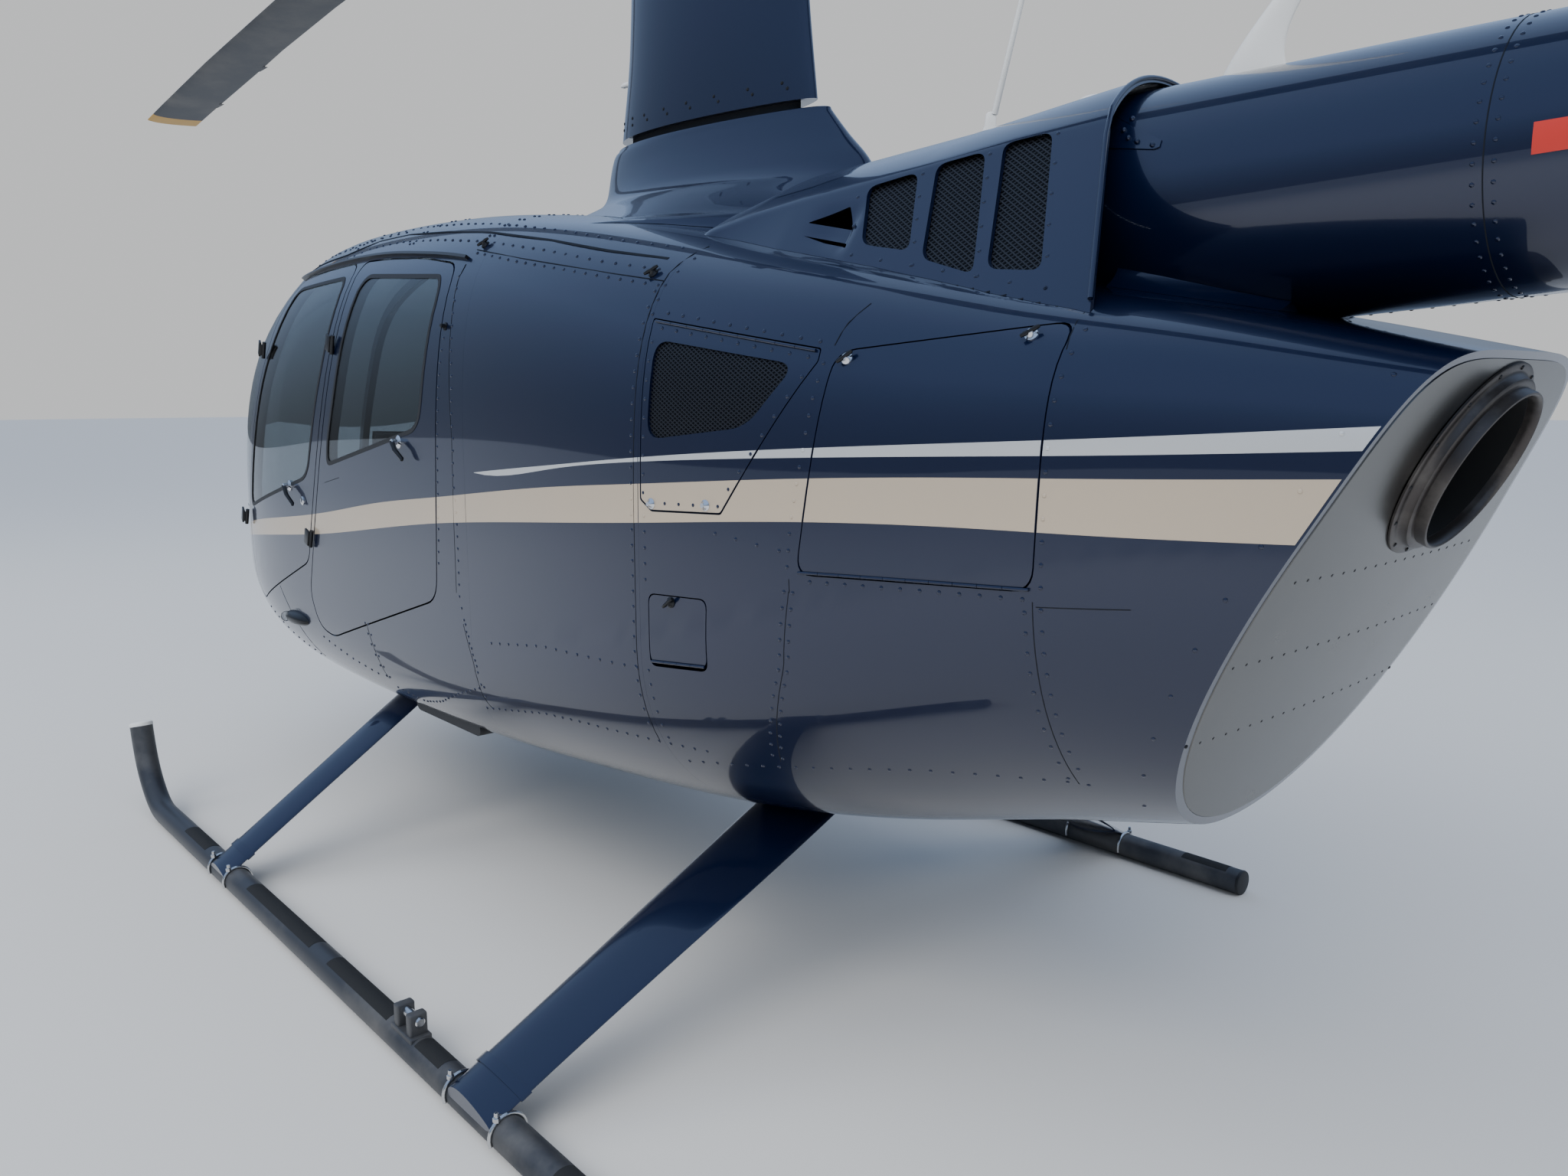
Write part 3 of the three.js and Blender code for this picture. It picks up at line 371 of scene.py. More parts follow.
def valuesOf(items, key, shape, kind=float):
    # one property of many mesh items
    values = np.zeros(shape, kind)
    items.foreach_get(key, values.ravel())
    return values


def mirroredCopy(made, name):
    copy = copyOf(made, name)
    mesh = copy.data
    custom = None
    if mesh.has_custom_normals:
        custom = valuesOf(mesh.corner_normals, "vector", (len(mesh.loops), 3))
    mesh.transform(Matrix.Diagonal((1, -1, 1, 1)))
    mesh.flip_normals()
    if custom is not None:
        order = []
        for polygon in mesh.polygons:
            loops = list(polygon.loop_indices)
            order.extend([loops[0]] + loops[:0:-1])
        mesh.normals_split_custom_set((custom[order] * (1, -1, 1)).tolist())
    mesh.update()
    return copy


def joined(name, parts):
    # several meshes as one piece, each with its own material
    for part in parts:
        part.select_set(True)
    with bpy.context.temp_override(active_object=parts[0], selected_editable_objects=parts):
        bpy.ops.object.join()
    parts[0].name = name
    return parts[0]


def place(made, body, node=None, slot=None):
    if node:
        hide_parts(node)
    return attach(made, body)


def placePair(left, name, body, node=None, slot=None):
    # a piece of the left side and its mirrored copy on the right
    other = mirroredCopy(left, name + "Right")
    left.name = name + "Left"
    place(left, body, node, slot)
    place(other, body.replace("_left", "_right"), node and node.replace("_left", "_right"), slot)


# The pod's skin: x, half width, lowest z, z of the widest point, highest z, lower power, upper power
podSections = [
    (2395, 0, 985, 985, 985, 2.3, 2.8),
    (2382, 180, 872, 984, 1112, 2.3, 2.8),
    (2349, 288, 795, 980, 1265, 2.3, 2.8),
    (2289, 396, 712, 972, 1432, 2.3, 2.85),
    (2208, 487, 640, 960, 1597, 2.35, 2.95),
    (2108, 564, 583, 945, 1760, 2.4, 3.05),
    (1955, 638, 532, 925, 1893, 2.5, 3.2),
    (1700, 704, 482, 900, 1995, 2.7, 3.35),
    (1400, 732, 456, 880, 2062, 2.95, 3.7),
    (1100, 736, 449, 865, 2077, 3.1, 4.2),
    (870, 737, 448, 860, 2074, 3.15, 4.55),
    (450, 737, 450, 865, 2060, 3.15, 5.0),
    (0, 737, 457, 885, 2024, 3.05, 5.4),
    (-450, 734, 465, 940, 1963, 2.7, 5.3),
    (-860, 718, 476, 1005, 1892, 2.35, 4.9),
    (-1300, 668, 548, 1125, 1808, 2.2, 4.6),
    (-1650, 607, 638, 1220, 1741, 2.1, 4.5),
    (-1950, 549, 708, 1285, 1684, 2.05, 4.8),
    (-2200, 432, 784, 1312, 1632, 2.05, 4.8),
    (-2500, 262, 874, 1330, 1568, 2.1, 4.6),
]
quarterSteps = 34  # points in a quarter of a section
ringSpacing = 36


def curveThrough(knots, rows):
    # natural cubic curve through rows of values
    t, y = np.asarray(knots, float), np.asarray(rows, float)
    n, h = len(t), np.diff(knots)
    matrix, right = np.eye(n), np.zeros(y.shape)
    for i in range(1, n - 1):
        matrix[i, i - 1 : i + 2] = h[i - 1], 2 * (h[i - 1] + h[i]), h[i]
        right[i] = 6 * ((y[i + 1] - y[i]) / h[i] - (y[i] - y[i - 1]) / h[i - 1])
    bend = np.linalg.solve(matrix, right)

    def evaluate(at):
        at = np.atleast_1d(np.asarray(at, float))
        k = np.clip(np.searchsorted(t, at) - 1, 0, n - 2)
        d = h[k][:, None]
        p = ((at - t[k]) / h[k])[:, None]
        q = 1 - p
        return q * y[k] + p * y[k + 1] + ((q**3 - q) * bend[k] + (p**3 - p) * bend[k + 1]) * d * d / 6

    return evaluate


def podCurve():
    rows = [(x, w, top - mid, mid - low, mid, pl, pt) for x, w, low, mid, top, pl, pt in podSections]
    rows = np.asarray(rows, float)
    along = runAlong(rows[:, :3])
    mirror = rows[:0:-1] * (1, -1, -1, -1, 1, 1, 1)
    knots = np.concatenate([-along[:0:-1], along])
    return curveThrough(knots, np.concatenate([mirror, rows])), along[-1]


podAt, podLength = podCurve()
podSteps = np.linspace(0, podLength, 4000)
podXs = podAt(podSteps)[:, 0]


def alongPod(x):
    return np.interp(-np.asarray(x, float), -podXs, podSteps)


def podNormals(points, s=None):
    # outward normals of the skin at points on or near it
    points = np.asarray(points, float).reshape(-1, 3)
    s = alongPod(points[:, 0]) if s is None else np.broadcast_to(s, (len(points),))
    y, z = points[:, 1], points[:, 2]

    def inside(at):
        x, w, up, down, mid, lowPower, topPower = podAt(at).T
        high = z > mid
        h = np.where(high, up, down)
        power = np.where(high, topPower, lowPower)
        across, tall = np.abs(y) / w, np.abs(z - mid) / h
        return x, w, h, power, across, tall, high, across**power + tall**power

    _, w, h, power, across, tall, high, _ = inside(s)
    later, before = inside(s + 1.0), inside(np.maximum(s - 1.0, 0.5))
    step = s + 1.0 - np.maximum(s - 1.0, 0.5)
    alongS = (later[7] - before[7]) / step
    run = np.abs((later[0] - before[0]) / step)
    out = np.stack([
        alongS * -1,
        np.sign(y) * power / w * across ** (power - 1) * run,
        np.where(high, 1, -1) * power / h * tall ** (power - 1) * run,
    ], axis=1)
    return out / np.maximum(np.linalg.norm(out, axis=1), 1e-9)[:, None]


def quarterCurve(halfWidth, height, power):
    # evenly spaced points from the widest point to the top or the bottom
    angle = np.linspace(0, math.pi / 2, 160)
    c, s = np.cos(angle), np.sin(angle)
    reach = (c**power + s**power) ** (-1 / power)
    curve = np.stack([halfWidth * reach * c, height * reach * s], axis=1)
    curve[-1, 0] = 0
    return resampled(curve, quarterSteps)


def podRing(s):
    x, w, up, down, mid, lowPower, topPower = podAt(s)[0]
    high, low = quarterCurve(w, up, topPower), quarterCurve(w, down, lowPower)
    side = np.concatenate([
        high * (1, 1), (high[:-1] * (-1, 1))[::-1], (low[1:] * (-1, -1)), (low[1:-1] * (1, -1))[::-1]
    ])
    ring = np.stack([np.full(len(side), x), side[:, 0], side[:, 1] + mid], axis=1)
    return ring, podNormals(ring, s)


def podStations(xFrom, xTo):
    start = 3.0 if xTo is None else float(alongPod(xTo))
    end = float(alongPod(xFrom))
    count = max(3, int(abs(end - start) / ringSpacing))
    return np.linspace(start, end, count)


def podBody(name, xFrom, xTo, outer=0.0, inner=None, material="navyPaint"):
    # the pod between two stations, solid or as a shell; xTo is None at the nose
    rings = [podRing(s) for s in podStations(xFrom, xTo)]
    count = len(rings[0][0])
    points, faces = [], []
    for level, depth in enumerate([outer] if inner is None else [outer, inner]):
        start = len(points)
        for i, (ring, normals) in enumerate(rings):
            moved = ring + normals * depth
            if i == len(rings) - 1:
                moved[:, 0] = xFrom
            if i == 0 and xTo is not None:
                moved[:, 0] = xTo
            points.extend(moved.tolist())
        faces.extend(gridFaces(len(rings), count, level == 1, start))
        if xTo is None:
            tip = len(points)
            points.append([podSections[0][0] + depth, 0, podSections[0][2]])
            for j in range(count):
                k = (j + 1) % count
                faces.append((tip, start + k, start + j) if level == 0 else (tip, start + j, start + k))
        elif inner is None:
            faces.append(tuple(start + j for j in reversed(range(count))))
        if inner is None:
            faces.append(tuple(start + (len(rings) - 1) * count + j for j in range(count)))
    if inner is not None:
        half = len(points) // 2
        ends = [(len(rings) - 1) * count] + ([0] if xTo is not None else [])
        for n, base in enumerate(ends):
            for j in range(count):
                k = (j + 1) % count
                face = (base + j, base + k, half + base + k, half + base + j)
                faces.append(face if n == 0 else face[::-1])
    return outward(makeObject(name, points, faces, material))


def followSkin(made, limit=0.82):
    # smooth normals of the true skin on faces that lie along it, flat ones on cut edges
    mesh = made.data
    vertexOf = valuesOf(mesh.loops, "vertex_index", len(mesh.loops), int)
    totals = valuesOf(mesh.polygons, "loop_total", len(mesh.polygons), int)
    own = np.repeat(valuesOf(mesh.polygons, "normal", (len(totals), 3)), totals, axis=0)
    local = valuesOf(mesh.vertices, "co", (len(mesh.vertices), 3))[vertexOf] * 1000
    local[:, 0] -= mastX * 1000
    skin = podNormals(local)
    dot = (skin * own).sum(axis=1)
    result = np.where((dot > limit)[:, None], skin, np.where((dot < -limit)[:, None], -skin, own))
    mesh.polygons.foreach_set("use_smooth", np.ones(len(totals), bool))
    mesh.normals_split_custom_set(result.tolist())
    mesh.update()
    return made


def skinPoint(x, z, lift=0.0):
    # point and normal on the left side of the skin, from the side view
    s = float(alongPod(x))
    _, w, up, down, mid, lowPower, topPower = podAt(s)[0]
    height, power = (up, topPower) if z > mid else (down, lowPower)
    share = min(abs(z - mid) / height, 1.0)
    y = w * (1 - share**power) ** (1 / power)
    normal = podNormals([(x, y, z)], s)[0]
    return np.array([x, y, z]) + normal * lift, normal


def skinTop(x, y, lift=0.0, under=False):
    # point and normal on the roof or the belly, from above
    s = float(alongPod(x))
    _, w, up, down, mid, lowPower, topPower = podAt(s)[0]
    power, height, sign = (lowPower, down, -1) if under else (topPower, up, 1)
    z = mid + sign * height * (1 - min(abs(y) / w, 1.0) ** power) ** (1 / power)
    normal = podNormals([(x, y, z)], s)[0]
    return np.array([x, y, z]) + normal * lift, normal


# Outlines in the side view

def inset(outline, distance):
    points = [np.asarray(p[:2], float) for p in outline]
    later = points[1:] + points[:1]
    area = sum(p[0] * q[1] - q[0] * p[1] for p, q in zip(points, later))
    side = math.copysign(1, area) * distance
    moved = []
    for i, point in enumerate(points):
        before, after = unit(point - points[i - 1]), unit(later[i] - point)
        inward = unit((-before[1] - after[1], before[0] + after[0]))
        reach = side / max(0.4, float(inward @ np.array([-before[1], before[0]])))
        moved.append(point + inward * reach)
    return moved


def roundedOutline(outline, radius, steps=7):
    points = [np.asarray(p[:2], float) for p in outline]
    result = []
    for i, point in enumerate(points):
        into, ahead = points[i - 1] - point, points[(i + 1) % len(points)] - point
        cut = min(radius, np.linalg.norm(into) * 0.45, np.linalg.norm(ahead) * 0.45)
        start, end = point + unit(into) * cut, point + unit(ahead) * cut
        result += [arcPoint(start, point, end, t) for t in np.linspace(0, 1, steps)]
    return result


sideNear, sideFar = 120, 900  # inside the hollow cabin, and beyond the widest part of the body


def sidePrism(outline, yFrom, yTo, radius=0.0):
    flat = roundedOutline(outline, radius) if radius > 0 else outline
    points = [(p[0], y, p[1]) for y in (yFrom, yTo) for p in flat]
    return outward(makeObject("outlineCutter", points, prismFaces(len(flat)), None))


def bothSides(outline, near, radius=0.0):
    return [sidePrism(outline, near, sideFar, radius), sidePrism(outline, -sideFar, -near, radius)]


def cutAlong(made, outline, radius=0.0, how="INTERSECT", near=sideNear):
    # keeps the left side's part inside an outline, or takes it out
    return combine(made, [sidePrism(outline, near, sideFar, radius)], how)


doorPost = 26
doorSplit = [
    (748, 1930), (766, 1808), (789, 1711), (824, 1605), (872, 1461), (935, 1284), (1020, 1044), (1050, 953),
]
frontDoorOutline = [(x + doorPost / 2, z) for x, z in doorSplit] + [
    (1640, 746), (1705, 785), (1765, 890), (1780, 1000), (1764, 1070), (1522, 1669), (1490, 1770),
    (1445, 1845), (1340, 1922),
]
rearDoorOutline = [(x - doorPost / 2, z) for x, z in doorSplit] + [
    (1074, 850), (1010, 735), (900, 716), (100, 952), (77, 1190), (52, 1540), (36, 1760), (34, 1872),
    (260, 1904), (500, 1922),
]
frontWindow = [
    (1030, 1243), (1722, 1090), (1628, 1330), (1538, 1545), (1450, 1708), (1340, 1880), (815, 1888),
    (826, 1790), (880, 1615), (935, 1490),
]
rearWindow = [
    (852, 1292), (165, 1428), (92, 1790), (106, 1844), (660, 1882), (712, 1740), (790, 1500), (842, 1370),
]
windscreen = [
    (1812, 1085), (1712, 1330), (1625, 1545), (1578, 1672), (1532, 1785), (1470, 1880), (1400, 1950),
    (1400, 2300), (2600, 2300), (2600, 1085),
]
cabin = {
    "backX": -95, "wall": 38, "glass": 5, "postHalf": 15, "openingRadius": 60, "doorRadius": 58,
    "windowRadius": 70, "sealWidth": 9, "sealProud": 1.2, "doorGap": 5,
}
doorways = {"front": (frontDoorOutline, frontWindow), "rear": (rearDoorOutline, rearWindow)}


def buildCabin(c):
    shell = podBody("cabinSkin", c["backX"], None, 0, -c["wall"])
    doors, cutters = {}, []
    for where, (outline, window) in doorways.items():
        doors[where] = cutAlong(copyOf(shell, "door"), inset(outline, c["doorGap"]), c["doorRadius"])
        cutAlong(doors[where], window, c["windowRadius"], "DIFFERENCE", 100)
        cutters += bothSides(outline, sideNear, c["openingRadius"])
    combine(shell, cutters + bothSides(windscreen, c["postHalf"]), "DIFFERENCE")
    place(followSkin(shell), "airframe", "cabin_shell", "navy_paint")
    for where, door in doors.items():
        placePair(followSkin(door), where + "Door", f"door_{where}_left", f"{where}_door_left", "navy_paint")
    print("cabin skin and doors ready")


def buildPanes(c):
    panes = podBody("paneShell", -60, None, -1.5, -1.5 - c["glass"], "windowGlass")
    for where, (_, window) in doorways.items():
        body, radius, width = f"door_{where}_left", c["windowRadius"], c["sealWidth"]
        pane = cutAlong(copyOf(panes, "pane"), inset(window, 1), radius)
        placePair(followSkin(pane), where + "Pane", body, f"{where}_window_left", "window_glass")
        seal = podBody("seal", -60, None, c["sealProud"], -9, "blackRubber")
        cutAlong(seal, inset(window, -3), radius)
        cutAlong(seal, inset(window, width), max(radius - width, 4), "DIFFERENCE", 90)
        placePair(followSkin(seal), where + "Seal", body)
    pane = cutAlong(copyOf(panes, "pane"), inset(windscreen, 1), near=c["postHalf"] + 1)
    placePair(followSkin(pane), "windscreenPane", "airframe", "windscreen_left", "window_glass")
    discard(panes)
    print("window panes and seals ready")


buildCabin(cabin)
buildPanes(cabin)


# Small shapes along the skin and free shapes

def frames(path):
    # two cross directions at each point of a path, without twist
    path = np.asarray(path, float)
    tangents = [unit(v) for v in np.gradient(path, axis=0)]
    first = np.array([0, 0, 1.0]) if abs(tangents[0][2]) < 0.8 else np.array([0, 1.0, 0])
    side = unit(np.cross(first, tangents[0]))
    result = []
    for tangent in tangents:
        side = unit(side - tangent * (side @ tangent))
        result.append((side, np.cross(tangent, side)))
    return result


def circle(centre, radius, a, b, sides, flat=1.0):
    angles = 2 * math.pi * np.arange(sides) / sides
    return centre + np.outer(np.cos(angles) * radius, a) + np.outer(np.sin(angles) * radius * flat, b)


def tube(name, path, radius, material, sides=14, degrees=50, flat=1.0):
    # round bar along a path; radius is a number or one number for each point
    path = np.asarray(path, float)
    rows = zip(path, np.broadcast_to(radius, (len(path),)), frames(path))
    rings = [circle(point, size, a, b, sides, flat) for point, size, (a, b) in rows]
    return loft(name, rings, material, degrees)


def turned(name, start, end, profile, material, sides=36, degrees=35):
    # turned shape round the line from start to end: (distance from start, radius)
    start, axis = np.asarray(start, float), unit(np.subtract(end, start))
    a, b = frames([start, start + axis])[0]
    return loft(name, [circle(start + axis * t, r, a, b, sides) for t, r in profile], material, degrees)


def stud(name, spot, normal, profile, material, sides=20):
    # turned shape that stands on a surface, its foot sunk by 1
    return turned(name, spot - normal, spot + normal, profile, material, sides)


def softBlock(name, low, high, material, bevel=3.0, turn=None):
    # block with rounded edges; turn is (centre, axes) to stand it askew
    (x0, y0, z0), (x1, y1, z1) = low, high
    points = [(x, y, z) for z in (z0, z1) for x, y in ((x0, y0), (x1, y0), (x1, y1), (x0, y1))]
    if turn is not None:
        centre, axes = turn
        points = [np.asarray(centre) + np.asarray(p) @ np.asarray(axes) for p in points]
    faces = [(0, 3, 2, 1), (4, 5, 6, 7), (0, 1, 5, 4), (1, 2, 6, 5), (2, 3, 7, 6), (3, 0, 4, 7)]
    made = outward(makeObject(name, points, faces, material))
    edge = made.modifiers.new("bevel", "BEVEL")
    edge.width = bevel / 1000
    edge.segments = 3
    edge.limit_method = "NONE"
    return smoothByAngle(applied(made), 40)


def domes(name, spots, radius, height, material, sides=8):
    # low rivet heads: (point, outward normal) each
    points, faces = [], []
    for spot, normal in spots:
        start = len(points)
        spot = np.asarray(spot, float)
        a = unit(np.cross(normal, (0.31, 0.17, 0.93)))
        b = np.cross(normal, a)
        for size, lift in ((1.0, -0.6), (0.92, 0.35), (0.58, 0.85)):
            points.extend(circle(spot + normal * lift * height, radius * size, a, b, sides))
        points.append(spot + normal * height)
        faces.extend(gridFaces(3, sides, False, start))
        faces.append(tuple(start + j for j in reversed(range(sides))))
        top = start + 2 * sides
        faces.extend((top + j, top + (j + 1) % sides, top + sides) for j in range(sides))
    return smoothByAngle(makeObject(name, points, faces, material), 75)


def ribbon(name, lines, width, material, lift=0.4, sink=1.2):
    # thin closed strips along lines of (point, outward normal)
    points, faces = [], []
    for line in lines:
        start = len(points)
        along = np.gradient(np.array([p for p, _ in line]), axis=0)
        for (p, n), t in zip(line, along):
            side = unit(np.cross(n, t)) * width / 2
            up, down = n * lift, n * sink
            points.extend([p - side + up, p + side + up, p + side - down, p - side - down])
        last = start + (len(line) - 1) * 4
        faces.extend(gridFaces(len(line), 4, False, start))
        faces += [(start + 3, start + 2, start + 1, start), (last, last + 1, last + 2, last + 3)]
    return outward(makeObject(name, points, faces, material))


def onSkin(outline, spacing):
    return [skinPoint(x, z) for x, z in spaced(outline, spacing)]


def flipped(spots):
    return [(p * (1, -1, 1), n * (1, -1, 1)) for p, n in spots]


# Body behind the cabin

middle = {"fromX": -860, "toX": -95.3}
cowling = {
    "fromX": -2500, "toX": -860.3, "wall": 14, "doorGap": 2.6,
    "intakeDoor": [(-866, 1691), (-1338, 1618), (-1338, 1592), (-1116, 1290), (-905, 1282), (-868, 1305)],
    "intakeWindow": [(-890, 1645), (-1288, 1588), (-1180, 1467), (-890, 1434)],
    "engineDoor": [(-1310, 1186), (-1806, 1206), (-1820, 1656), (-1374, 1612)],
    "accessDoor": [(-889, 944), (-1068, 958), (-1074, 1110), (-889, 1102)],
    # lower than its door, which leaves the door room to swing
    "accessOpening": [(-889, 938), (-1068, 952), (-1074, 1110), (-889, 1102)],
    "meshPitch": 7.5, "meshWire": 2.6, "corners": {"intake": 6, "engine": 40, "access": 22}, "near": 150,
}
aftFace = {"low": (-1910, 740), "high": (-2320, 1590), "bow": 10, "halfSpan": 480, "thick": 12}
exhaust = {"along": 762, "radius": 148, "wall": 9, "flange": 12.5}
tailCone = {"frontX": -1620, "frontZ": 1878, "frontR": 239, "aftX": -5560, "aftZ": 2016, "aftR": 94}


def aftPoint(out, across, along):
    # point on the sloping aft face: out of it, to the left, up along it
    (x0, z0), (x1, z1) = aftFace["low"], aftFace["high"]
    tilt = math.atan2(x0 - x1, z1 - z0)
    c, s = math.cos(tilt), math.sin(tilt)
    return np.array([x0 - out * c - along * s, across, z0 - out * s + along * c])


def aftNormal():
    return unit(aftPoint(1, 0, 0) - aftPoint(0, 0, 0))


def aftBow(across):
    t = min(abs(across) / aftFace["halfSpan"], 1)
    return -aftFace["bow"] * (t * t - 0.65)


def aftSlab(depthFrom, depthTo, material):
    # slab along the aft face; depth is measured inwards from it
    span = aftFace["halfSpan"]
    across = [-sideFar, *np.linspace(-span, span, 25), sideFar]
    line = [(aftBow(y) - depthFrom, y) for y in across] + [(aftBow(y) - depthTo, y) for y in across[::-1]]
    rings = [[aftPoint(out, y, along) for out, y in line] for along in (-2200, 2200)]
    return loft("aftSlab", rings, material, 20)


def coneAt(x):
    # radius of the tail cone and height of its middle
    c = tailCone
    t = (c["frontX"] - x) / (c["frontX"] - c["aftX"])
    return c["frontR"] + t * (c["aftR"] - c["frontR"]), c["frontZ"] + t * (c["aftZ"] - c["frontZ"])


def coneRing(x, grow=0.0):
    r, z = coneAt(x)
    return circle((x, 0, z), r + grow, (0, 1, 0), (0, 0, 1), 64)


def coneSpot(x, angle, lift=0.0):
    # point and normal on the tail cone; angle 0 at its left, 90 at its top
    r, z = coneAt(x)
    normal = np.array([0, math.cos(math.radians(angle)), math.sin(math.radians(angle))])
    return np.array([x, 0, z]) + normal * (r + lift), normal


def coneSolid(grow):
    c = tailCone
    return loft("coneCutter", [coneRing(c["frontX"] + 1, grow), coneRing(c["aftX"], grow)], None)


def buildMiddle(m):
    body = podBody("sidePanels", m["fromX"], m["toX"])
    place(followSkin(body), "airframe", "middle_body", "navy_paint")
    print("body behind the cabin ready")


def latticeOver(outline, pitch, put):
    # two families of crossing lines clipped to an outline; put(x, z, layer) gives point and normal
    polygon = np.array(outline)
    centre = polygon.mean(axis=0)
    reach = np.linalg.norm(polygon - centre, axis=1).max()
    lines = []
    for layer, slant in enumerate((math.radians(32), math.radians(-32))):
        along = np.array([math.cos(slant), math.sin(slant)])
        across = np.array([-along[1], along[0]])
        for k in np.arange(-reach, reach, pitch):
            base = centre + across * k
            cuts = []
            for p, q in zip(polygon, np.roll(polygon, -1, axis=0)):
                dp, dq = (p - base) @ across, (q - base) @ across
                if (dp < 0) != (dq < 0):
                    cuts.append(float((p + (q - p) * dp / (dp - dq) - base) @ along))
            if len(cuts) < 2 or max(cuts) - min(cuts) < 6:
                continue
            steps = max(2, int((max(cuts) - min(cuts)) / 45) + 2)
            lines.append([put(*(base + along * v), layer) for v in np.linspace(min(cuts), max(cuts), steps)])
    return lines


def meshPanel(name, window, c):
    # black wire mesh behind a window of the engine doors, and a near-black sheet behind it as painted shade
    lines = latticeOver(
        inset(window, -7), c["meshPitch"], lambda x, z, layer: skinPoint(x, z, -5.5 - 0.8 * layer)
    )
    wires = ribbon(name + "Wires", lines, c["meshWire"], "screenMesh", 0.4, 0.4)
    # near-black sheet: painted shade of the bay behind the screen
    shadeBacking = podBody(name, -1400, -862, -9.5, -11, "seamAndShadeDark")
    cutAlong(shadeBacking, inset(window, -7), 40, near=c["near"])
    return joined(name, [followSkin(shadeBacking), wires])


def hingeTube(name, start, end, pieces):
    # piano hinge: knuckles in a row along a line of the side view
    parts = []
    spots = np.linspace(start, end, pieces + 1)
    ends = [skinPoint(x, z, 2.4)[0] for x, z in spots]
    for p, q in zip(ends[:-1], ends[1:]):
        gap = unit(q - p) * 0.5
        parts.append(tube(name + "Knuckle", [p + gap, q - gap], 3.0, "navyPaint", 10))
    return joined(name, parts)


def buildCowling(c):
    wall = podBody("engineCowl", c["fromX"], c["toX"], 0, -c["wall"])
    doors = {}
    for label, radius in c["corners"].items():
        doors[label] = cutAlong(copyOf(wall, label), inset(c[label + "Door"], c["doorGap"]), radius)
    cutAlong(doors["intake"], c["intakeWindow"], 44, "DIFFERENCE", 100)
    openings = [
        *bothSides(c["intakeDoor"], c["near"], c["corners"]["intake"]),
        *bothSides(c["engineDoor"], c["near"], c["corners"]["engine"]),
        sidePrism(c["accessOpening"], c["near"], sideFar, c["corners"]["access"]),
    ]
    combine(wall, [*openings, aftSlab(-1500, 0.5, None), coneSolid(0.5)], "DIFFERENCE")
    place(followSkin(wall), "airframe", "engine_cowling", "navy_paint")
    for label in ("intake", "engine"):
        placePair(
            followSkin(doors[label]), label + "Door", f"{label}_flap_left", f"{label}_door_left", "navy_paint"
        )
    doors["access"].name = "accessDoorLeft"
    place(followSkin(doors["access"]), "access_flap_left", "access_door_left", "navy_paint")
    screen = meshPanel("intakeScreenLeft", c["intakeWindow"], c)
    placePair(screen, "intakeScreen", "intake_flap_left", "intake_screen_left", "screen_mesh")
    print("engine cowling and its doors ready")


def buildAftFace(c, e):
    panel = podBody("aftPanel", -2500, -1500, -cowling["wall"] - 0.4, None, "polishedSteel")
    axis = aftNormal()
    centre = aftPoint(0, 0, e["along"])
    bore = e["radius"] + 0.5
    hole = turned("hole", centre - axis * 200, centre + axis * 200, [(0, bore), (400, bore)], None, 48)
    combine(panel, [aftSlab(-1, c["thick"], "polishedSteel")], "INTERSECT")
    combine(panel, [coneSolid(0.5), hole], "DIFFERENCE")
    smoothByAngle(panel, 20)
    place(panel, "airframe", "aft_panel", "polished_steel")
    start = centre - axis * 80
    r, w = e["radius"], e["wall"]
    # lip, groove, raised ring and flange; the face is at 80
    profile = [
        (0, 40), (4, r - w - 2), (6, r - w), (118, r - w), (127, r - w + 1.5), (131, r - w + 4), (132, r - 3),
        (131, r), (127, r + 1), (112, r + 1), (111, r + 4), (111, r + 10), (108, r + 14), (97, r + 15),
        (94, r + 18), (92.5, r + 22), (92.5, r + 32), (91, r + 34), (87.5, r + 34), (87, r + 30), (87, r),
        (0, r),
    ]
    pipe = turned("exhaustPipe", start, start + axis, profile, "exhaustSteel", 72, 40)
    inside = turned(
        "exhaustInside", start + axis * 6, start + axis * 200,
        [(0, 60), (1, r - w - 0.4), (104, r - w - 0.4), (104, r - w - 2), (4, r - w - 3), (3, 60)],
        "sootBlack", 48,
    )
    bolts = []
    for i in range(14):
        a = 2 * math.pi * (i + 0.5) / 14
        across, along = math.cos(a) * (r + 26), math.sin(a) * (r + 26)
        spot = aftPoint(e["flange"], across, e["along"] + along)
        bolts.append((spot, axis))
    heads = domes("exhaustBolts", bolts, 4.6, 2.6, "blackMetal")
    place(joined("exhaustPipe", [pipe, inside, heads]), "airframe", "exhaust_pipe", "dark_steel")
    rivets = []
    for along in (70, 235, 400, 560):
        for across in np.arange(-420, 421, 42):
            spot = aftPoint(aftBow(across) + 0.2, across, along)
            _, w, _, down, mid, _, _ = podAt(float(alongPod(spot[0])))[0]
            if abs(across) < w * 0.9 and spot[2] > mid - down + 40 and abs(spot[2] - mid) < down * 0.8:
                rivets.append((spot, axis))
    place(domes("aftPanelRivets", rivets, 3.8, 1.8, "blackMetal"), "airframe")
    print("aft panel and exhaust ready")


buildMiddle(middle)
buildCowling(cowling)
buildAftFace(aftFace, exhaust)


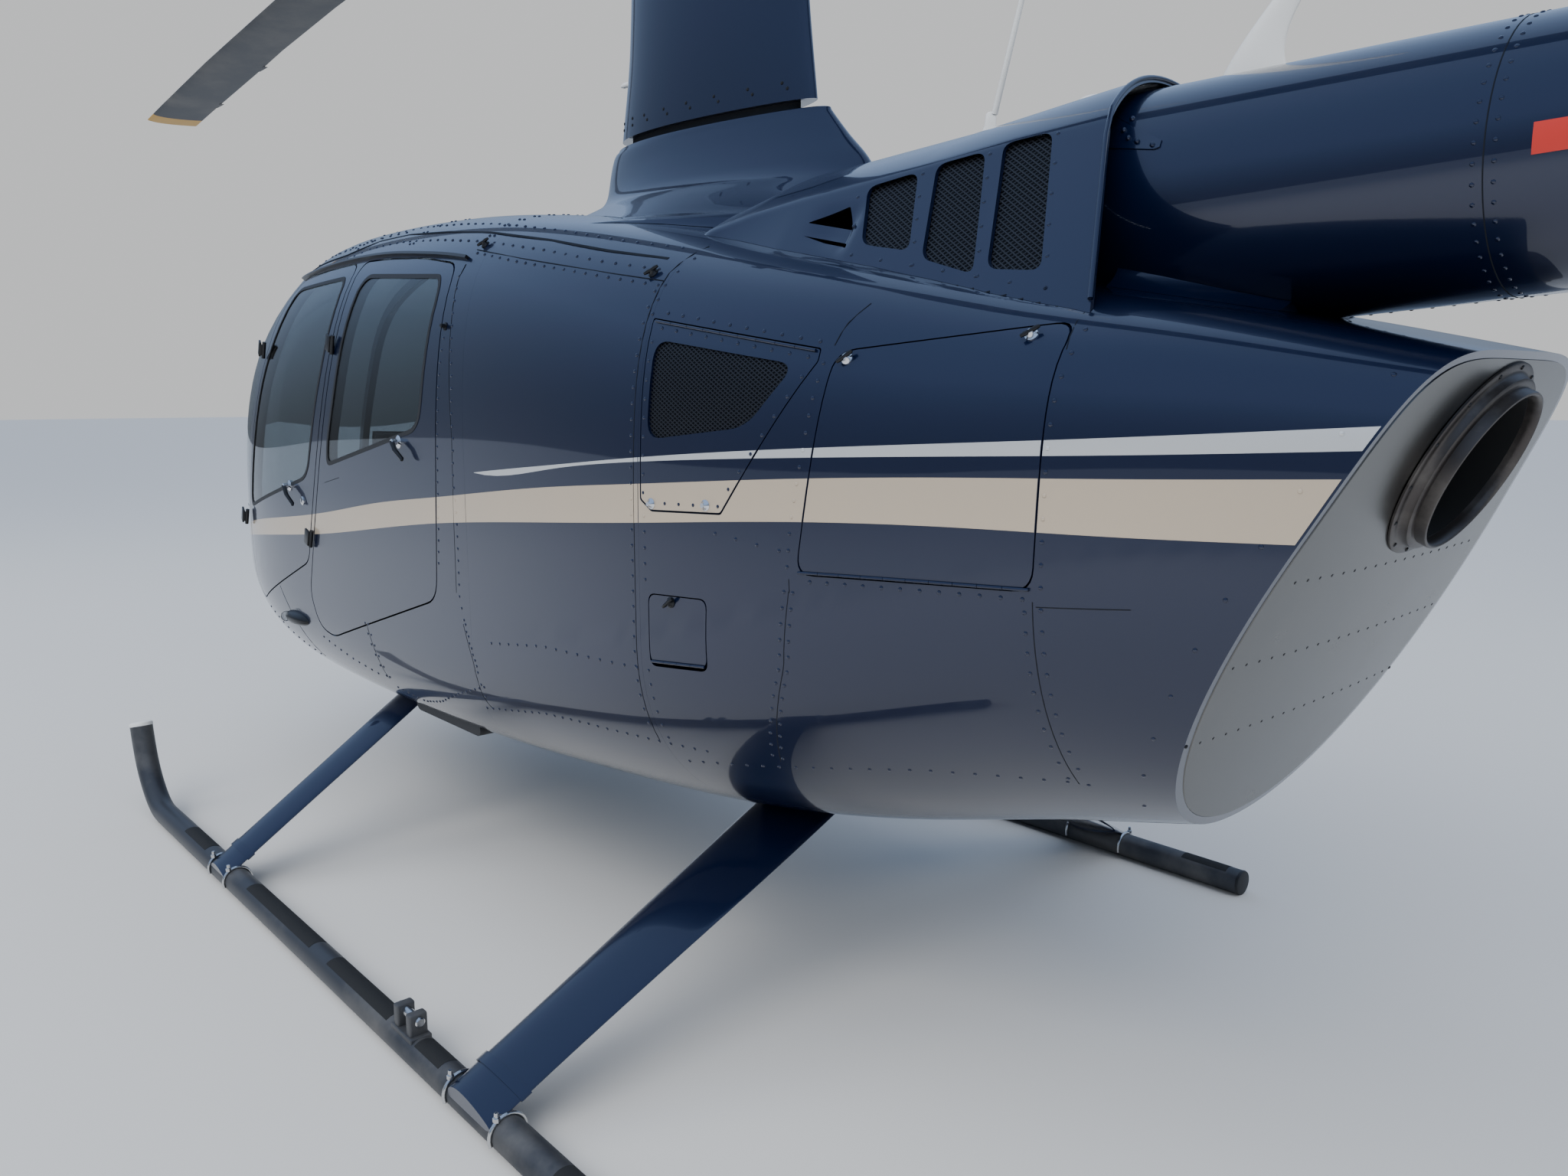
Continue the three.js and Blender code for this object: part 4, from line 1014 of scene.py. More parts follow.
# Upper cowling: x, half width and z of its foot, half width and z of the fold, top z
upperCowlSections = [
    (-700, 470, 1850, 455, 1868, 1950),
    (-790, 468, 1850, 462, 1893, 2030),
    (-900, 475, 1828, 430, 1921, 2066),
    (-1030, 488, 1800, 394, 1945, 2073),
    (-1300, 483, 1740, 327, 1981, 2094),
    (-1510, 485, 1690, 275, 2013, 2121),
    (-1900, 504, 1600, 215, 2045, 2166),
]
upperCowl = {
    "lip": [(-1642, 2170), (-1818, 1668)], "wall": 8, "fold": 12, "scoopDepth": 9, "corner": 24,
    "windows": [
        [(-1199, 1952), (-1310, 1972), (-1376, 1806), (-1252, 1828)],
        [(-1348, 1982), (-1450, 1997), (-1546, 1750), (-1414, 1788)],
        [(-1484, 2008), (-1584, 2018), (-1688, 1748), (-1572, 1758)],
    ],
    "scoops": [
        [(-1083, 1887), (-1175, 1914), (-1202, 1862)],
        [(-1087, 1859), (-1212, 1832), (-1214, 1824), (-1150, 1838)],
    ],
    "meshPitch": 8, "meshWire": 2.8,
    # hollow that the scoops lie in: it runs in and ends over these lengths, falls and widens as it runs aft
    "hollow": {
        "fromX": -1075, "run": 90, "toX": -1216, "end": 8, "z": 1890, "fall": 0.22, "half": 46, "widen": 0.16,
    },
}


def cowlRow(x):
    xs = [row[0] for row in upperCowlSections][::-1]
    return [np.interp(x, xs, [row[i] for row in upperCowlSections][::-1]) for i in range(1, 6)]


def smoothStep(t):
    t = min(max(t, 0.0), 1.0)
    return t * t * (3 - 2 * t)


def cowlRing(x, grow=0.0, dished=0.0):
    foot, footZ, fold, foldZ, top = cowlRow(x)
    side = np.array([fold - foot, foldZ - footZ])
    length = np.linalg.norm(side)
    side /= length
    out = np.array([side[1], -side[0]])
    left = []
    soft = upperCowl["fold"]
    for t in np.linspace(0, length - soft, 22):
        point = np.array([foot, footZ]) + side * t
        deep = 0.0
        if dished:
            h = upperCowl["hollow"]
            behind = h["fromX"] - x
            ahead = smoothStep(behind / h["run"]) * smoothStep((x - h["toX"]) / h["end"])
            centre = h["z"] - behind * h["fall"]
            spread = h["half"] + max(0, behind) * h["widen"]
            deep = dished * ahead * smoothStep((spread - abs(point[1] - centre)) / (spread * 0.75))
        left.append(point + out * (grow - deep))

    def crown(u):
        return np.array([fold * u, foldZ + (top - foldZ) * (1 - u * u)])

    start = np.array([foot, footZ]) + side * (length - soft)
    corner, end = np.array([fold, foldZ]), crown(1 - soft / fold)
    for t in (0.25, 0.5, 0.75):
        left.append(arcPoint(start, corner, end, t) + out * grow)
    for u in np.linspace(1 - soft / fold, 0, 18):
        slope = unit([-2 * (top - foldZ) * u, -fold])
        left.append(crown(u) - slope * grow)
    left[-1][0] = 0
    right = [(-y, z) for y, z in left[-2::-1]]
    return [(x, y, z) for y, z in [*left, *right]]


def cowlSolid(grow, dished=0.0, step=14.0, material="navyPaint"):
    first, last = upperCowlSections[0][0], upperCowlSections[-1][0]
    xs = np.linspace(first, last, int((first - last) / step))
    return loft("upperCowling", [cowlRing(x, grow, dished) for x in xs], material, 30)


def cowlSide(x, z, lift=0.0):
    # point and normal on the flat left side of the upper cowling
    def acrossAt(at):
        foot, footZ, fold, foldZ, _ = cowlRow(at)
        return foot + (fold - foot) * (z - footZ) / (foldZ - footZ)

    foot, footZ, fold, foldZ, _ = cowlRow(x)
    behind = (-20, acrossAt(x - 20) - acrossAt(x), 0)
    normal = unit(np.cross(behind, (0, fold - foot, foldZ - footZ)))
    normal = normal if normal[1] > 0 else -normal
    return np.array([x, acrossAt(x), z]) + normal * lift, normal


def cowlTop(x, y, lift=0.0):
    _, _, fold, foldZ, top = cowlRow(x)
    z = foldZ + (top - foldZ) * (1 - (y / fold) ** 2)
    normal = unit((0, 2 * (top - foldZ) * y / fold**2, 1))
    return np.array([x, y, z]) + normal * lift, normal


def buildUpperCowl(c):
    outer = cowlSolid(0, c["scoopDepth"])
    inner = cowlSolid(-c["wall"], c["scoopDepth"], 24)
    combine(inner, [softBlock("clip", (-2000, -900, 1400), (-740, 900, 2400), None, 1)], "INTERSECT")
    (topX, topZ), (lowX, lowZ) = c["lip"]
    ahead = [(topX, topZ), (lowX, lowZ), (lowX - 60, 1500), (-500, 1500), (-500, 2400), (topX, 2400)]
    cuts = [podBody("podCutter", -2500, -400, 0.4)]
    combine(outer, [inner], "DIFFERENCE")
    combine(outer, [sidePrism(ahead, -sideFar, sideFar)], "INTERSECT")
    for outline, corner in [(o, c["corner"]) for o in c["windows"]] + [(o, 5) for o in c["scoops"]]:
        cuts += bothSides(outline, 150, corner)
    combine(outer, cuts, "DIFFERENCE")
    smoothByAngle(outer, 28)
    parts = []
    for outline in c["windows"]:
        grown = roundedOutline(inset(outline, -5), c["corner"] + 4, 4)
        lines = latticeOver(
            grown, c["meshPitch"], lambda x, z, layer: cowlSide(x, z, -c["wall"] - 1.6 - layer)
        )
        parts.append(ribbon("screenWires", lines, c["meshWire"], "screenMesh", 0.4, 0.4))
        # near-black sheet behind each screen: painted shade of the bay behind it
        back = [cowlSide(x, z, depth)[0] for depth in (-16, -17) for x, z in grown]
        parts.append(outward(makeObject("screenShadeBack", back, prismFaces(len(grown)), "seamAndShadeDark")))
    placePair(joined("screens", parts), "cowlingScreen", "airframe", "cowling_screen_left", "screen_mesh")

    def lipX(z):
        return topX + (lowX - topX) * (topZ - z) / (topZ - lowZ)

    edge = [cowlSide(lipX(z), z, 3.0)[0] for z in np.linspace(1690, 1990, 12)]
    edge += [cowlTop(lipX(cowlTop(-1670, y)[0][2]), y, 1.5)[0] for y in np.linspace(225, 0, 12)]
    bead = tube("cowlingRim", edge + [p * (1, -1, 1) for p in edge[-2::-1]], 5, "navyPaint", 10)
    place(joined("upperCowling", [outer, bead]), "airframe", "upper_cowling", "navy_paint")
    print("upper cowling ready")


# Mast fairing: z, front x, aft x, half width
fairingBaseSections = [
    (1890, -200, -840, 500), (1924, 100, -860, 600), (1943, 400, -880, 640), (1976, 410, -900, 458),
    (2010, 350, -890, 340), (2047, 290, -880, 250), (2078, 242, -862, 192), (2107, 232, -842, 166),
    (2172, 226, -775, 140), (2228, 208, -722, 126), (2246, 172, -706, 122),
]
fairingSections = [
    (2272, 174, -662, 104), (2520, 124, -630, 103), (2800, 102, -606, 99), (2960, 92, -585, 94),
    (3010, 60, -540, 74),
]


def steadyCurve(rows):
    # cubic curve through rows of values that never swings past them; the first value of a row is its place
    rows = np.asarray(rows, float)
    t, y = rows[:, 0], rows[:, 1:]
    h = np.diff(t)[:, None]
    step = np.diff(y, axis=0) / h
    turn = np.zeros_like(y)
    both = step[1:] * step[:-1]
    turn[1:-1] = np.where(both > 0, 2 * both / np.where(both > 0, step[1:] + step[:-1], 1), 0)
    turn[0], turn[-1] = step[0], step[-1]

    def evaluate(at):
        i = min(max(int(np.searchsorted(t, at)) - 1, 0), len(h) - 1)
        size = h[i, 0]
        u = (at - t[i]) / size
        start = y[i] * (1 + 2 * u) * (1 - u) ** 2 + turn[i] * size * u * (1 - u) ** 2
        return start + y[i + 1] * u * u * (3 - 2 * u) - turn[i + 1] * size * u * u * (1 - u)

    return evaluate


baseAt, columnAt = steadyCurve(fairingBaseSections), steadyCurve(fairingSections)


def fullness(u):
    # share of the half width that a fairing's section has, from its aft edge at 0 to its front at 1
    return (0.62 + 0.62 * u) * 0.94


def fairingRing(front, aft, halfWidth, z, count=72):
    ring = []
    for i in range(count):
        angle = 2 * math.pi * i / count
        u = (1 + math.cos(angle)) / 2
        ring.append((aft + (front - aft) * u, halfWidth * math.sin(angle) * fullness(u), z))
    return ring


def fairingSpot(x, z, lift=0.0):
    # point and normal on the left side of the column
    front, aft, half = columnAt(z)

    def across(at):
        u = min(max((at - aft) / (front - aft), 0.001), 0.999)
        return half * math.sin(math.acos(2 * u - 1)) * fullness(u)

    normal = unit((-(across(x + 2) - across(x - 2)) / 4, 1, 0))
    return np.array([x, across(x), z]) + normal * lift, normal


def buildFairing():
    top = fairingBaseSections[-1][0]
    rings = [fairingRing(*baseAt(z), z) for z in np.linspace(fairingBaseSections[0][0], top - 6, 48)]
    front, aft, half = baseAt(top - 6)
    rings.append(fairingRing(front - 1.5, aft + 1.5, half - 1.5, top - 1.5))
    rings.append(fairingRing(front - 6, aft + 6, half - 6, top))
    base = loft("fairingBase", rings, "navyPaint", 30)
    inlet = turned("inletCutter", (300, 0, 2160), (170, 0, 2160), [(0, 42), (70, 40), (115, 34)], None, 28)
    combine(base, [podBody("podCutter", -2000, 900, 0.8), cowlSolid(1.2, 0, 24, None), inlet], "DIFFERENCE")
    smoothByAngle(base, 28)
    # near-black ring in the slot between base and column: painted shade in the gap
    neck = loft("fairingSlotShade", [fairingRing(130, -600, 82, z) for z in (2238, 2280)], "seamAndShadeDark", 30)
    place(joined("fairingBase", [base, neck]), "airframe", "fairing_base", "navy_paint")
    levels = np.linspace(fairingSections[0][0], fairingSections[-1][0], 34)
    rings = [fairingRing(*columnAt(z), z) for z in levels]
    column = loft("fairingColumn", rings, "navyPaint", 30)
    probe = turned(
        "speedProbe", (110, 0, 2452), (270, 0, 2452), [(0, 9), (84, 8), (92, 5.5), (96, 5), (100, 2)],
        "whiteCoat", 16,
    )
    plate = turned(
        "lowerPlate", (0, 0, 3000), (0, 0, 3098),
        [(0, 84), (60, 92), (66, 108), (90, 112), (96, 110), (98, 60)], "blackMetal", 40,
    )
    place(joined("fairingColumn", [column, probe, plate]), "airframe", "mast_fairing", "navy_paint")
    rivets = []
    for x in (120, 40, -50, -150, -250, -360, -480, -590):
        rivets.append(fairingSpot(x, 2303))
        rivets.append(fairingSpot(x + 16, 2318) if x < 0 else fairingSpot(x, 2322))
    rivets += flipped(rivets)
    place(domes("fairingScrews", rivets, 5, 2.4, "blackMetal"), "airframe")
    print("mast fairing ready")


# Tail
tailRotor = {"x": -5870, "y": 262, "z": 2032, "r": 762, "chord": 130}
upperFin = {"root": (-5360, -5905, 2090), "tip": (-5985, -6300, 2900), "thick": 42}
lowerFin = {"root": (-5380, -5850, 1945), "tip": (-5720, -6010, 1290), "thick": 40}
stabilizer = {"front": -5330, "chord": 420, "tipY": -1110, "thick": 44}


def wingRing(lead, trail, thick, put, count=40):
    # streamlined section, blunt ahead and sharp behind
    ring = []
    for i in range(count):
        angle = 2 * math.pi * i / count
        u = (1 + math.cos(angle)) / 2
        ring.append(put(trail + (lead - trail) * u, thick / 2 * math.sin(angle) * (0.5 + 0.75 * u)))
    return ring


def atHeight(z):
    return lambda a, b: (a, b, z)


def tipRing(ring, length, thick, rise):
    # smaller last ring that rounds a tip off
    middleX = sum(p[0] for p in ring) / len(ring)
    return [(middleX + (p[0] - middleX) * length, p[1] * thick, p[2] + rise) for p in ring]


def buildTail(t):
    c = tailCone
    xs = np.linspace(c["frontX"], c["aftX"], 24)
    cone = loft("tailCone", [coneRing(x) for x in xs], "navyPaint", 40)
    core = loft("coneHollow", [coneRing(c["frontX"] + 5, -5), coneRing(c["frontX"] - 400, -5)], None)
    combine(cone, [core], "DIFFERENCE")
    smoothByAngle(cone, 40)
    place(cone, "airframe", "tail_cone", "navy_paint")
    rivets, seams = [], []
    for x in (-2310, -3120, -3930, -4740):
        seams.append([coneSpot(x, a) for a in np.linspace(0, 360, 65)])
        for side in (-9, 9):
            rivets += [coneSpot(x + side * 1.6, a) for a in np.arange(0, 360, 8)]
    rivets += [coneSpot(x, 262) for x in np.arange(-1900, -5500, -34)]
    place(ribbon("coneSeams", seams, 2.0, "seamAndShadeDark"), "airframe")
    place(domes("coneRivets", rivets, 4, 1.8, "navyPaint", 6), "airframe")
    x, y, z = t["x"], t["y"], t["z"]
    parts = [
        turned("gearboxNeck", (c["aftX"] - 0.3, 0, c["aftZ"]), (x - 90, 0, z),
               [(0, 80), (60, 86), (66, 86), (72, 78), (220, 66), (398, 62)], "navyPaint", 40),
        turned("gearboxCase", (x, -70, z), (x, 96, z),
               [(0, 50), (6, 62), (18, 66), (22, 76), (30, 78), (36, 68), (130, 70), (134, 78), (146, 78),
                (152, 66), (166, 46)], "blackMetal", 40),
        turned("gearboxShaft", (x, 90, z), (x, y - 38, z), [(0, 40), (60, 36), (133, 32)], "brightSteel", 24),
        turned("oilGlass", (x - 52, -62, z - 40), (x - 52, -80, z - 40), [(0, 12), (12, 12), (14, 8)],
               "chromeTrim", 20),
    ]
    place(joined("tailGearbox", parts), "airframe", "tail_gearbox")

    def fin(name, f):
        rings = []
        for s in np.linspace(0, 1, 9):
            lead, trail = (f["root"][i] + (f["tip"][i] - f["root"][i]) * s for i in (0, 1))
            height = f["root"][2] + (f["tip"][2] - f["root"][2]) * s
            thick = f["thick"] * (1 - 0.3 * s)
            rings.append(wingRing(lead, trail, thick, atHeight(height)))
        rings.append(tipRing(rings[-1], 0.985, 0.6, 6 if f["tip"][2] > f["root"][2] else -6))
        return loft(name, rings, "navyPaint", 32)

    def clearTail(made):
        clear = loft("clear", [coneRing(-5000, 0.4), coneRing(c["aftX"], 0.4)], None)
        neck = turned("clear", (c["aftX"] + 1, 0, c["aftZ"]), (x - 90, 0, z),
                      [(0, 90), (70, 88), (76, 80), (399, 64)], None, 40)
        case = turned("clear", (x, -72, z), (x, 98, z), [(0, 79), (170, 79)], None, 40)
        return smoothByAngle(combine(made, [clear, neck, case], "DIFFERENCE"), 32)

    place(clearTail(fin("upperFin", upperFin)), "airframe", "upper_fin", "navy_paint")
    s = stabilizer
    level = coneAt(s["front"] - s["chord"] / 2)[1]
    spans = [0, -400, -800, s["tipY"] + 12, s["tipY"] + 3, s["tipY"]]
    wing = loft("stabilizer", [
        wingRing(s["front"] - cut, s["front"] - s["chord"] + cut, s["thick"] * thin,
                 lambda a, b, at=at: (a, at, level + b))
        for at, cut, thin in zip(spans, (0, 0, 0, 0, 4, 12), (1, 1, 1, 1, 0.8, 0.4))
    ], "navyPaint", 32)
    place(clearTail(wing), "airframe", "stabilizer", "navy_paint")
    tipX = lowerFin["tip"][1] + 60
    skid = tube("tailSkid", [(tipX + 130, 0, 1330), (tipX + 60, 0, 1190), (tipX - 60, 0, 1120),
                             (tipX - 260, 0, 1090)], 14, "navyPaint", 14)
    place(joined("lowerFin", [clearTail(fin("lowerFin", lowerFin)), skid]), "airframe", "lower_fin",
          "navy_paint")
    path = [(x - 84, 40, z - 24), (x - 400, 36, z - 20), (x - 640, 42, z - 12), (x - 750, 66, z - 8),
            (x - 815, 116, z - 2), (x - 842, 180, z), (x - 850, 250, z), (x - 850, 330, z)]
    place(tube("tailRotorGuard", path, 13, "whiteCoat", 14, 60), "airframe", "tail_rotor_guard",
          "white_paint")
    hub = [
        turned("tailHub", (x, y - 38, z), (x, y + 34, z),
               [(0, 44), (8, 46), (24, 46), (28, 38), (58, 38), (62, 26), (72, 22)], "blackMetal", 32),
        softBlock("tailYoke", (x - 24, y - 14, z - 118), (x + 24, y + 14, z + 118), "brightSteel", 4),
    ]
    place(joined("tailHub", hub), "tail_rotor", "tail_rotor_hub", "dark_steel")
    for name, turn in (("Upper", 1), ("Lower", -1)):
        chord = t["chord"]
        sections = [
            (118.3, 46, 28), (150, 60, 26), (190, 118, 19), (215, chord, 18), (t["r"] - 90, chord, 14),
            (t["r"] - 6, chord, 13), (t["r"], 126, 8),
        ]
        blade = loft("tailBlade" + name, [
            wingRing(width / 2, -width / 2, thick,
                     lambda a, b, at=at: (x + turn * a, y + b, z + turn * at))
            for at, width, thick in sections
        ], "whiteCoat", 32)
        place(blade, "tail_rotor", f"tail_blade_{name.lower()}", "white_paint")
    print("tail ready")


# Main rotor
rotor = {
    "radius": 5030, "hubZ": 3380, "drop": 280, "rootStart": 260, "mastRadius": 38, "mastBottom": 2962,
    "topZ": 3480, "band": 130,
}


def buildRotor(r):
    hubZ = r["hubZ"]
    bottom, head, wide, slim = r["mastBottom"], hubZ - 37.3, r["mastRadius"], 34
    mast = turned("rotorMast", (0, 0, bottom), (0, 0, head),
                  [(0, wide), (170, wide), (180, slim), (340, slim), (350, wide), (head - bottom, wide)],
                  "brightSteel", 36)
    place(mast, "main_rotor", "rotor_mast", "polished_steel")
    plate = turned("swashplate", (0, 0, 3106), (0, 0, 3138),
                   [(0, 60), (2, 124), (8, 128), (22, 122), (28, 112), (32, 60)], "brightSteel", 48)
    bore = turned("bore", (0, 0, 3090), (0, 0, 3150), [(0, wide + 0.4), (60, wide + 0.4)], None, 36)
    combine(plate, [bore], "DIFFERENCE")
    place(smoothByAngle(plate, 35), "main_rotor", "swashplate", "polished_steel")
    parts = [
        softBlock("hubBar", (-r["rootStart"], -52, hubZ - 37), (r["rootStart"], 52, hubZ + 37),
                  "blackMetal", 10),
        turned("hubCap", (0, 0, hubZ + 20), (0, 0, r["topZ"]),
               [(0, 62), (40, 60), (50, 50), (70, 36), (80, 34)], "brightSteel", 32),
    ]
    for side in (1, -1):
        y0, y1 = sorted((side * 50, side * 150))
        parts.append(softBlock("horn", (side * 150 - 22, y0, hubZ - 30), (side * 150 + 22, y1, hubZ - 6),
                               "blackMetal", 4))
        low, high = np.array((side * 66, side * 84, 3139)), np.array((side * 150, side * 130, hubZ - 14))
        rod = [(0, 12), (18, 12), (20, 8), (np.linalg.norm(high - low), 8)]
        parts.append(turned("pitchLink", low, high, rod, "brightSteel", 14))
        for across in (-26, 26):
            parts.append(turned("hubBolt", (side * 205, across, hubZ + 34), (side * 205, across, hubZ + 60),
                                [(0, 17), (10, 17), (12, 10), (22, 9)], "brightSteel", 6, 20))
    place(joined("rotorHub", parts), "main_rotor", "rotor_hub", "dark_steel")
    sections = [
        (r["rootStart"] + 0.3, 96, 66), (330, 100, 64), (430, 120, 62), (520, 170, 54), (610, 226, 45),
        (700, 254, 38), (1700, 254, 32), (2800, 254, 32), (3500, 258, 32), (3900, 270, 32), (4700, 270, 28),
        (r["radius"] - r["band"], 270, 26.5),
    ]
    ends = [(r["radius"] - r["band"], 270, 26.5), (r["radius"] - 8, 270, 26), (r["radius"] - 2, 268, 20),
            (r["radius"], 262, 12)]
    for name, turn in (("Front", 1), ("Rear", -1)):
        def put(at):
            z = hubZ - r["drop"] * (at / r["radius"]) ** 1.8
            return lambda a, b: (turn * at, turn * a, z + b)
        made = [
            loft("mainBlade" + name,
                 [wingRing(chord * 0.27, -chord * 0.73, thick, put(at)) for at, chord, thick in sections],
                 "bladeCoat", 32),
            loft("bladeBand",
                 [wingRing(chord * 0.27, -chord * 0.73, thick, put(at)) for at, chord, thick in ends],
                 "ochreBand", 32),
        ]
        for at in (3780, 4520):
            z = hubZ - r["drop"] * ((at + 60) / r["radius"]) ** 1.8
            x0, x1 = sorted((turn * at, turn * (at + 120)))
            y0, y1 = sorted((turn * -185, turn * -206))
            made.append(softBlock("trimTab", (x0, y0, z - 1), (x1, y1, z + 1), "bladeCoat", 0.6))
        place(joined("mainBlade" + name, made), "main_rotor", f"main_blade_{name.lower()}",
              "blade_coat")
    print("main rotor ready")


# Landing gear
skids = {"y": 1146, "radius": 38, "aftX": -1375, "bendX": 1450}
# struts: x, half width at the belly, z there, foot x, chord at the foot, chord at the belly, thickness
struts = {
    "front": (835, 470, 470, 800, 132, 150, 46),
    "rear": (-850, 215, 470, -850, 184, 236, 52),
}


def buildGear(g):
    y, low = g["y"], g["radius"]
    knots = np.array([(g["bendX"], 0), (1560, 14), (1660, 92), (1710, 186), (1735, 282)], float)
    curve = curveThrough(np.arange(5.0), knots)
    bend = [(x, y, low + z) for x, z in (curve(t)[0] for t in np.linspace(0, 4, 26))]
    path = [(g["aftX"], y, low), (g["aftX"] + 4, y, low), (0, y, low), (g["bendX"] - 60, y, low), *bend]
    radii = [low - 3] + [low] * (len(path) - 1)
    bar = tube("skidTube", path, radii, "skidCoat", 32, 50)
    tip = np.array(bend[-1])
    aim = unit(tip - np.array(bend[-2]))
    cap = turned("toeCap", tip - aim * 10, tip + aim, [(0, 39), (8, 39.5), (12, 38), (16, 30)],
                 "whiteCoat", 32)
    aftCap = turned("aftCap", (g["aftX"] + 6, y, low), (g["aftX"] - 40, y, low),
                    [(0, 38.6), (4, 38.8), (8, 37), (10, 30)], "blackRubber", 32)
    parts = [bar, cap, aftCap]
    for x0, x1 in ((-1330, -1180), (-700, -580), (-430, -60), (60, 560), (960, 1180)):
        arc = np.radians(np.linspace(52, 128, 12))
        edge = [(a, 38.7) for a in arc] + [(a, 37.6) for a in arc[::-1]]
        rings = [[(x, y + math.cos(a) * r, low + math.sin(a) * r) for a, r in edge] for x in (x0, x1)]
        parts.append(loft("gripStrip", rings, "gripStrip", 40))
    for x0 in (-560, -495):
        parts.append(softBlock("wheelBracket", (x0, y - 22, 62), (x0 + 24, y + 22, 130), "skidCoat", 5))
    parts.append(turned("bracketPin", (-570, y, 112), (-460, y, 112), [(0, 9), (3, 12), (107, 12), (110, 9)],
                        "brightSteel", 18))
    parts.append(softBlock("bracketFoot", (-570, y - 26, 60), (-460, y + 26, 78), "skidCoat", 3))
    for _, _, _, footX, footChord, *_ in struts.values():
        for off in (-0.62, 0.48):
            middleX = footX + off * footChord
            for side in (-1, 1):
                loop = [(middleX, y + 42 * math.cos(a) * side, low + 42 * math.sin(a))
                        for a in np.linspace(math.radians(-20), math.radians(90), 12)]
                parts.append(tube("skidClamp", loop, 4.5, "brightSteel", 8))
            parts.append(turned("clampBolt", (middleX, y + 24, 74), (middleX, y + 24, 100),
                                [(0, 8), (9, 8), (10, 5), (20, 4.6)], "brightSteel", 6, 20))
    placePair(joined("skid", parts), "skid", "airframe", "skid_left", "skid_coat")
    for where, (x, half, z, footX, footChord, chord, thick) in struts.items():
        foot = np.array((footX, y - 6, 2 * low + 0.3))
        top = np.array((x, half, z + 40))
        drop = unit((0, top[1] - foot[1], top[2] - foot[2]))
        across = np.array((0, -drop[2], drop[1]))
        rings = []
        for s in np.linspace(-0.06, 1, 18):
            c = footChord + (chord - footChord) * smoothStep(s)
            middleP = foot + (top - foot) * s
            rings.append(wingRing(c * 0.42, -c * 0.58, thick * (1.0 if s > 0.05 else 0.9),
                                  lambda a, b, m=middleP: m + np.array((a, 0, 0)) + across * b))
        leg = loft("strut", rings, "navyPaint", 32)
        room = [(0, low + 0.4), (3000, low + 0.4)]
        clearSkid = turned("clear", (-1500, y, low), (1500, y, low), room, None, 32)
        keep = softBlock("clip", (-3000, 1 - y - low, low), (3000, y + low - 1, 900), None, 0.5)
        combine(leg, [podBody("podCutter", -1700, 1600, 0.4), clearSkid], "DIFFERENCE")
        combine(leg, [keep], "INTERSECT")
        smoothByAngle(leg, 32)
        cuff = loft("strutCuff", [
            wingRing(footChord * 0.42 + 5, -footChord * 0.58 - 5, thick + 9,
                     lambda a, b, m=foot + drop * d: m + np.array((a, 0, 0)) + across * b)
            for d in (34, 60)
        ], "navyPaint", 30)
        leg = joined("strut", [leg, cuff])
        placePair(leg, where + "Strut", "airframe", f"strut_{where}_left", "navy_paint")
    print("landing gear ready")


buildUpperCowl(upperCowl)
buildFairing()
buildTail(tailRotor)
buildRotor(rotor)
buildGear(skids)


# Stripes: thin layers of paint over the skin, one piece for each panel they cross
stripes = {
    "wide": {
        "material": "champagnePaint",
        "top": [(2080, 953), (1900, 1002), (1700, 1040), (1300, 1088), (852, 1143), (478, 1199), (83, 1244),
                (-248, 1282), (-526, 1311), (-845, 1337), (-1300, 1372), (-1840, 1399), (-2420, 1418)],
        "low": [(2080, 934), (1900, 962), (1700, 986), (1300, 1026), (916, 1065), (488, 1121), (90, 1171),
                (-242, 1203), (-843, 1252), (-1300, 1289), (-1840, 1309), (-2420, 1312)],
    },
    "thin": {
        "material": "silverPaint",
        "top": [(-150, 1325), (-187, 1329), (-529, 1363), (-847, 1394), (-1340, 1432), (-1840, 1462),
                (-2420, 1501)],
        "low": [(-150, 1324), (-187, 1322), (-529, 1354), (-847, 1385), (-1340, 1414), (-1840, 1436),
                (-2420, 1462)],
    },
}


def throughPoints(points, spacing=60):
    # smooth line through points of the side view
    points = np.array(points, float)
    run = runAlong(points)
    return curveThrough(run, points)(np.linspace(0, run[-1], int(run[-1] / spacing) + 2)).tolist()


def buildStripe(label, s):
    outline = throughPoints(s["top"]) + throughPoints(s["low"])[::-1]
    c = cowling
    gap, flapGap = cabin["doorGap"] + 1.5, c["doorGap"] + 1
    frontDoor, rearDoor = frontDoorOutline, rearDoorOutline
    zones = [
        ("Cabin", "airframe", -94, None, None, 0, [(frontDoor, -1.5, 60), (rearDoor, -1.5, 60)]),
        ("FrontDoor", "door_front_left", 600, None, inset(frontDoor, gap), 58, []),
        ("RearDoor", "door_rear_left", -60, 1300, inset(rearDoor, gap), 58, []),
        ("Side", "airframe", -859, -96.3, None, 0, []),
        ("Cowling", "airframe", -2450, -861.5, None, 0,
         [(c["intakeDoor"], -1, 6), (c["engineDoor"], -1, 40)]),
        ("IntakeDoor", "intake_flap_left", -1400, -861.5, inset(c["intakeDoor"], flapGap), 6, []),
        ("EngineDoor", "engine_flap_left", -1900, -1200, inset(c["engineDoor"], flapGap), 40, []),
    ]
    for zone, body, xFrom, xTo, inside, radius, outsides in zones:
        layer = podBody(f"{label}Stripe{zone}Left", xFrom, xTo, 0.3, -0.6, s["material"])
        cutAlong(layer, outline, near=c["near"])
        if inside and len(layer.data.vertices):
            cutAlong(layer, inside, radius)
        for around, distance, corner in outsides if len(layer.data.vertices) else ():
            cutAlong(layer, inset(around, distance), corner, "DIFFERENCE")
        if zone == "Cowling":
            combine(layer, [aftSlab(-1500, 4, None)], "DIFFERENCE")
        if not len(layer.data.vertices):
            discard(layer)
            continue
        placePair(followSkin(layer), f"{label}Stripe{zone}", body)


for label, stripe in stripes.items():
    buildStripe(label, stripe)
print("stripes ready")


